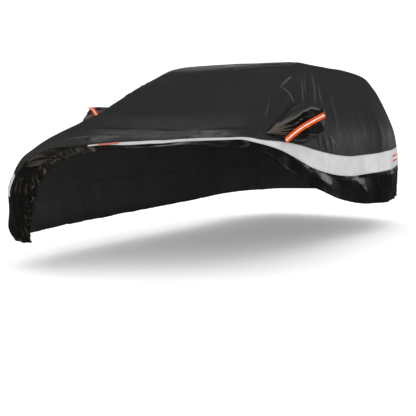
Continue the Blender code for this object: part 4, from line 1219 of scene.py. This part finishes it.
def pocket_grid(side):
    """A pocket's outer points, as on the left, each row's share of the way out, and the painted
    highlights of its folds and welts.

    The rows run from a foot sunk into the side's cloth out to the middle of the outer end.
    """
    angle = np.linspace(0, 2 * math.pi, POCKET_SIDES + 1)
    along, height = pocket_foot(angle, side).T
    foot = np.stack([across_at(along, height), along, height], -1)
    facing, _ = outward(foot)
    foot += facing * (cloth_rise(foot) + FOOT_PROUD)[:, None]
    rim = tip_ring(angle, 1.0, POCKET_TIP_ROUND)
    swell_way = np.stack([0 * angle, np.cos(angle), np.sin(angle)], -1)
    rows, shares, painted_light_and_shade = [foot - facing * FOOT_SUNK], [0.0], [0 * angle]
    for share in np.linspace(0, 1, POCKET_ROWS):
        rise, painted_glints = bag_folds(angle / (2 * math.pi), share)
        rise += bag_creases(angle, share)
        rows.append(foot + (rim - foot) * share + swell_way * rise[:, None])
        shares.append(share)
        painted_light_and_shade.append(painted_glints)
    for turn in np.linspace(0, math.pi / 2, TIP_ROWS + 1)[1:]:
        size = 1 - (1 - TIP_SHRINK) * (1 - math.cos(turn))
        rows.append(tip_ring(angle, size, POCKET_TIP_ROUND * (1 - math.sin(turn))))
    for size in np.linspace(1, 0, CAP_ROWS + 1)[1:]:
        ring = tip_ring(angle, TIP_SHRINK * size, 0.0)
        ring[:, 0] += TIP_DOME * (1 - size**2)
        creased = TIP_RISE * crinkles(ring / TIP_CREASES, 1.0, TIP_SEED)
        ring[:, 0] += creased * (1 - 0.9 * size) * min(1, 6 * TIP_SHRINK * size)
        rows.append(ring)
    shares += [1.0] * (TIP_ROWS + CAP_ROWS)
    painted_light_and_shade += [0 * angle] * (TIP_ROWS + CAP_ROWS)
    grid, shares = np.array(rows), np.array(shares)
    welts = hood_welts(grid) * smoothstep(0.0, 0.25, shares)[:, None]
    # Painted highlight along the welts too.
    painted_light_and_shade = np.maximum(np.array(painted_light_and_shade), welts / PAINTED_LINE_RISE)
    return grid + welts[..., None] * WELT_WAY, shares, painted_light_and_shade


def cut_pocket_hole(piece, side):
    """Takes the cloth out where the pocket opens into the cover."""
    angle = np.linspace(0, 2 * math.pi, HOLE_SIDES + 1)[:-1]
    outline = pocket_foot(angle, side)
    inner = np.column_stack([np.full(HOLE_SIDES, HOLE_FROM * side), outline])
    outer = np.column_stack([np.full(HOLE_SIDES, HOLE_TO * side), outline])
    faces = [tuple(range(HOLE_SIDES)), tuple(range(2 * HOLE_SIDES - 1, HOLE_SIDES - 1, -1))]
    for i in range(HOLE_SIDES):
        after = (i + 1) % HOLE_SIDES
        faces.append((after, i, HOLE_SIDES + i, HOLE_SIDES + after))
    mesh = bpy.data.meshes.new("pocket_hole")
    mesh.from_pydata((np.vstack([inner, outer]) - ORIGIN).tolist(), [], faces)
    if side == LEFT:
        mesh.flip_normals()
    cutter = linked("pocket_hole", mesh)
    cut = piece.modifiers.new("pocket hole", "BOOLEAN")
    cut.object = cutter
    cut.operation = "DIFFERENCE"
    bpy.context.view_layer.update()
    graph = bpy.context.evaluated_depsgraph_get()
    made = bpy.data.meshes.new_from_object(piece.evaluated_get(graph))
    piece.modifiers.clear()
    piece.data = made
    bpy.data.objects.remove(cutter)


# -------------------------------- the tapes

TAPE_THICKNESS, TAPE_ROWS = 0.001, 10
POCKET_WHITE_ROWS, BAND_WHITE_ROWS = (4, 5), (3, 4, 5, 6)  # the rows of a tape's white line
LIFTED_WHITE_ROWS = (4,)  # of the narrow tape at the lifted band's front end
TAPE_OFF_BAND, TAPE_OFF_POCKET = 0.0016, 0.0045
STRIP_PLACES = 73  # along a pocket's tape
BRIDGE_PASSES, ROUND_PASSES = 200, 60  # draw it taut over the cloth's creases, and even it out


def make_tape(node, grid, raised, out, white_rows):
    """A tape of three lines, orange, white and orange, in place of its solid."""
    faces = quads_of(grid)
    columns = grid.shape[1] - 1
    lines = [int(i // columns in white_rows) for i in range(len(faces))]
    finishes = (ORANGE, WHITE, ORANGE)
    piece = cloth(
        f"{node}_tape", raised, faces, out, finishes, thickness=TAPE_THICKNESS, part_of=lines
    )
    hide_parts(node)
    return piece


def band_tape(node, half, rows, stations, white_rows):
    """A tape over part of a band, between these rows and these stations of it."""
    start, end = np.searchsorted(at_stations(), stations)
    at = np.linspace(*rows, TAPE_ROWS + 1)
    low = np.floor(at).astype(int)
    part = (at - low)[:, None, None]
    raised_grid = np.concatenate([half["band"], half["band_rise"][..., None]], -1)
    picked = raised_grid[low] * (1 - part) + raised_grid[low + 1] * part
    picked = picked[:, start : end + 1]
    points = picked[..., :3].reshape(-1, 3)
    normals, _ = outward(points)
    raised = points + normals * (picked[..., 3].reshape(-1, 1) + TAPE_OFF_BAND)
    return make_tape(node, picked[..., :3], raised, normals, white_rows)


def smoothed(values, passes):
    """Values on a grid, each drawn towards its neighbours along the grid's rows and columns."""
    for _ in range(passes):
        padded = np.pad(values, 1, mode="edge")
        values = (
            padded[:-2, 1:-1] + padded[2:, 1:-1] + padded[1:-1, :-2] + padded[1:-1, 2:]
            + 2 * padded[1:-1, 1:-1]
        ) / 6
    return values


def cast_depths(start, way, bag):
    """How far from each start the bag is along this way, or nan where it isn't."""
    tree = BVHTree.FromPolygons([Vector(p) for p in bag[0]], bag[1])
    depth = np.full(start.shape[:2], np.nan)
    for at in np.ndindex(*depth.shape):
        hit = tree.ray_cast(Vector(start[at]), Vector(way), STRIP_REACH[1] - STRIP_REACH[0])
        if hit[0] is not None:
            depth[at] = hit[3]
    return depth


def pocket_tape(node, side, bag):
    """The tape over a pocket, cast on to its outer face, bridging the cloth's small creases."""
    low, high, out = np.array(STRIPS[side]) * (side, 1, 1)
    across = np.cross(out, high - low)
    across *= STRIP_WIDTH / 2 / np.linalg.norm(across)
    out = out / np.linalg.norm(out)
    shares, widths = np.linspace(0, 1, STRIP_PLACES), np.linspace(-1, 1, TAPE_ROWS + 1)
    sideways = widths[:, None] + STRIP_BOW[side] * np.sin(math.pi * shares)
    start = low + (high - low) * shares[None, :, None] + across * sideways[..., None]
    start = start + out * STRIP_REACH[1]
    depth = cast_depths(start, -out, bag)
    whole = np.nonzero(~np.isnan(depth).any(0))[0]
    first, last = whole[0], whole[-1]
    depth[:, :first] = depth[:, first : first + 1]
    start, depth = start[:, : last + 1], depth[:, : last + 1]
    nearest = depth.min(0, keepdims=True)
    for _ in range(BRIDGE_PASSES):
        nearest = np.minimum(smoothed(nearest, 1), nearest)
    depth = np.tile(smoothed(nearest, ROUND_PASSES) - TAPE_OFF_POCKET, (len(depth), 1))
    grid = start - out * depth[..., None]
    points = grid.reshape(-1, 3)
    return make_tape(node, grid, points, np.tile(out, (len(points), 1)), POCKET_WHITE_ROWS)


def make_pocket(side, word):
    """A mirror pocket's bag, matte over its top and glossy elsewhere, and its tape."""
    grid, shares, painted_light_and_shade = pocket_grid(side)
    grid = grid * (side, 1, 1)
    points = grid.reshape(-1, 3)
    faces = quads_of(grid)
    middles = np.array([points[list(face)].mean(0) for face in faces])
    hood = (over_hood_line(middles) > 0).astype(int)
    gather = np.repeat(np.clip(1.2 - shares * 0.7, 0.5, 1)[:, None], grid.shape[1], 1)
    outwards, run = run_lengths(grid, 0), run_lengths(grid, 1)
    kept = {"seam": outwards, "run": run, "gather": gather, "painted_light_and_shade": painted_light_and_shade}
    kept |= {"hem_run": run, "hem_far": outwards}
    node = f"mirror_pocket_{word}"
    out = points - (side * BAG_MIDDLE, *POCKET_TIP[1:])
    finishes = (GLOSS, CHARCOAL, BACK)
    bag = cloth(f"{node}_cloth", points, faces, out, finishes, kept, part_of=hood)
    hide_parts(node)
    return bag, pocket_tape(f"pocket_strip_{word}", side, (points, faces))


# -------------------------------- all of the cloth

left, right = make_side(LEFT, "left"), make_side(RIGHT, "right")
centre = make_top(left, right)
front = make_end("front", (FRONT_TOP, FRONT_HEM), NOSE_STEPS, nose_relief, left, right)
rear = make_end("rear", (REAR_TOP, REAR_HEM), TAIL_STEPS, tail_relief, left, right)
bag_left, strip_left = make_pocket(LEFT, "left")
bag_right, strip_right = make_pocket(RIGHT, "right")
band_marks = [
    band_tape(f"band_mark_{word}", half, (BAND_ROWS * upper, BAND_ROWS * lower), stations, lines)
    for word, half, stations, upper, lower, lines in (
        ("front_left", left, (1, 3), 0.15, 0.62, LIFTED_WHITE_ROWS),
        ("rear_left", left, (50, 55), 0.33, 0.67, BAND_WHITE_ROWS),
        ("front_right", right, (1, 5), 0.33, 0.67, BAND_WHITE_ROWS),
        ("rear_right", right, (50, 55), 0.33, 0.67, BAND_WHITE_ROWS),
    )
]

# -------------------------------- what each cloth was cut to

def declare(piece, width, length):
    """Works out the area of a piece's outer face, capped just under its flat size, and neither
    keeps nor returns it.
    """
    area = sum(polygon.area for polygon in piece.data.polygons) / 2
    area = min(area, 0.999 * width * length)


declare(centre, 1.90, 5.10)
declare(left["side"], 0.79, 3.80)
declare(right["side"], 0.79, 4.60)
declare(left["band_piece"], 0.20, 4.65)
declare(right["band_piece"], 0.20, 4.10)
declare(left["skirt"], 0.35, 4.70)
declare(right["skirt"], 0.37, 4.15)
declare(front, 0.63, 1.15)
declare(rear, 0.56, 1.85)
declare(bag_left, 0.50, 0.90)
declare(bag_right, 0.50, 0.90)
declare(strip_left, STRIP_WIDTH, 0.52)
declare(strip_right, STRIP_WIDTH, 0.26)
declare(band_marks[0], 0.025, 0.25)
for tape in band_marks[1:]:
    declare(tape, 0.080, 0.50)

# -------------------------------- floor, light and camera

GROUND, FLOOR_REACH = -ORIGIN[2], 60.0
BRIGHT, GLOSSY_BRIGHT = 1.15, 0.04  # the surroundings, and what of them shows as reflections
LIGHTS_AIM = Vector((0, -0.3, -0.3))
PLAIN, WARM = (1.0, 1.0, 1.0), (1.0, 0.86, 0.70)
LIGHTS = (  # name, direction from the cover, distance, size, radiance, colour
    ("back_light", (-0.53, 0.78, 0.33), 9.0, (4.0, 2.4), 1.0, PLAIN),
    ("flank_light", (0.30, 0.95, 0.03), 9.0, (3.4, 1.7), 0.8, PLAIN),
    ("corner_light", (0.76, 0.10, 0.64), 6.0, (1.8, 1.8), 1.5, PLAIN),
    ("crest_light", (0.60, 0.44, 0.67), 6.0, (1.3, 1.3), 1.0, PLAIN),
    ("roll_light", (-0.20, 0.10, 0.97), 6.0, (1.8, 1.8), 0.6, PLAIN),
    ("nose_light", (-0.86, 0.05, 0.50), 6.0, (1.6, 1.6), 0.5, WARM),
    ("low_light", (-0.93, -0.38, 0.02), 6.5, (1.6, 1.8), 0.4, WARM),
)
CAMERA_AT, CAMERA_AIM = (3.207, -5.773, 0.970), (0.288, -1.013, 0.384)
LENS, SENSOR = 64.75, 36.0


def make_stage():
    mesh = bpy.data.meshes.new("floor")
    signs = ((-1, -1), (1, -1), (1, 1), (-1, 1))
    corners = [(FLOOR_REACH * across, FLOOR_REACH * along, GROUND) for across, along in signs]
    mesh.from_pydata(corners, [], [(0, 1, 2, 3)])
    floor = linked("floor", mesh)
    made = Finish("floor")
    shade = made.blended(made.noisy(0.8, 2.0), grey(0.90), grey(0.92))
    lit = {"Emission_Color": grey(1.0), "Emission_Strength": 0.25}
    mesh.materials.append(made.done(shade, 0.95, 0.1, (), **lit))
    floor.visible_glossy = False


def turn_to(thing, way):
    """Turns a light or the camera to look this way."""
    thing.rotation_mode = "QUATERNION"
    thing.rotation_quaternion = way.to_track_quat("-Z", "Y")


def make_light(name, direction, distance, size, radiance, colour):
    """A soft panel of light, as bright as the radiance whatever its size."""
    lamp = bpy.data.lights.new(name, "AREA")
    lamp.color = colour
    lamp.shape = "RECTANGLE"
    lamp.size, lamp.size_y = size
    lamp.energy = radiance * math.pi * size[0] * size[1]
    light = linked(name, lamp)
    way = Vector(direction).normalized()
    light.location = way * distance + LIGHTS_AIM
    turn_to(light, -way)
    light.visible_camera = False


def make_world():
    world = bpy.data.worlds.new("studio")
    bpy.context.scene.world = world
    world.use_nodes = True
    world.node_tree.nodes.clear()
    made = Nodes(world.node_tree)
    glossy = made.add("LightPath").outputs["Is Glossy Ray"]
    plain, reflected = (
        made.add("Background", {"Color": grey(1.0), "Strength": strength}).outputs[0]
        for strength in (BRIGHT, GLOSSY_BRIGHT)
    )
    mixed = made.add("MixShader", {0: glossy, 1: plain, 2: reflected}).outputs[0]
    made.add("OutputWorld", {"Surface": mixed})


def make_camera():
    camera = linked("camera", bpy.data.cameras.new("camera"))
    camera.data.lens = LENS
    camera.data.sensor_width = SENSOR
    camera.data.dof.use_dof = False
    camera.location = Vector(CAMERA_AT) - Vector(ORIGIN)
    turn_to(camera, Vector(CAMERA_AIM) - Vector(ORIGIN) - camera.location)
    bpy.context.scene.camera = camera


make_stage()
make_world()
for light in LIGHTS:
    make_light(*light)
make_camera()
bpy.context.scene.view_settings.view_transform = "Standard"
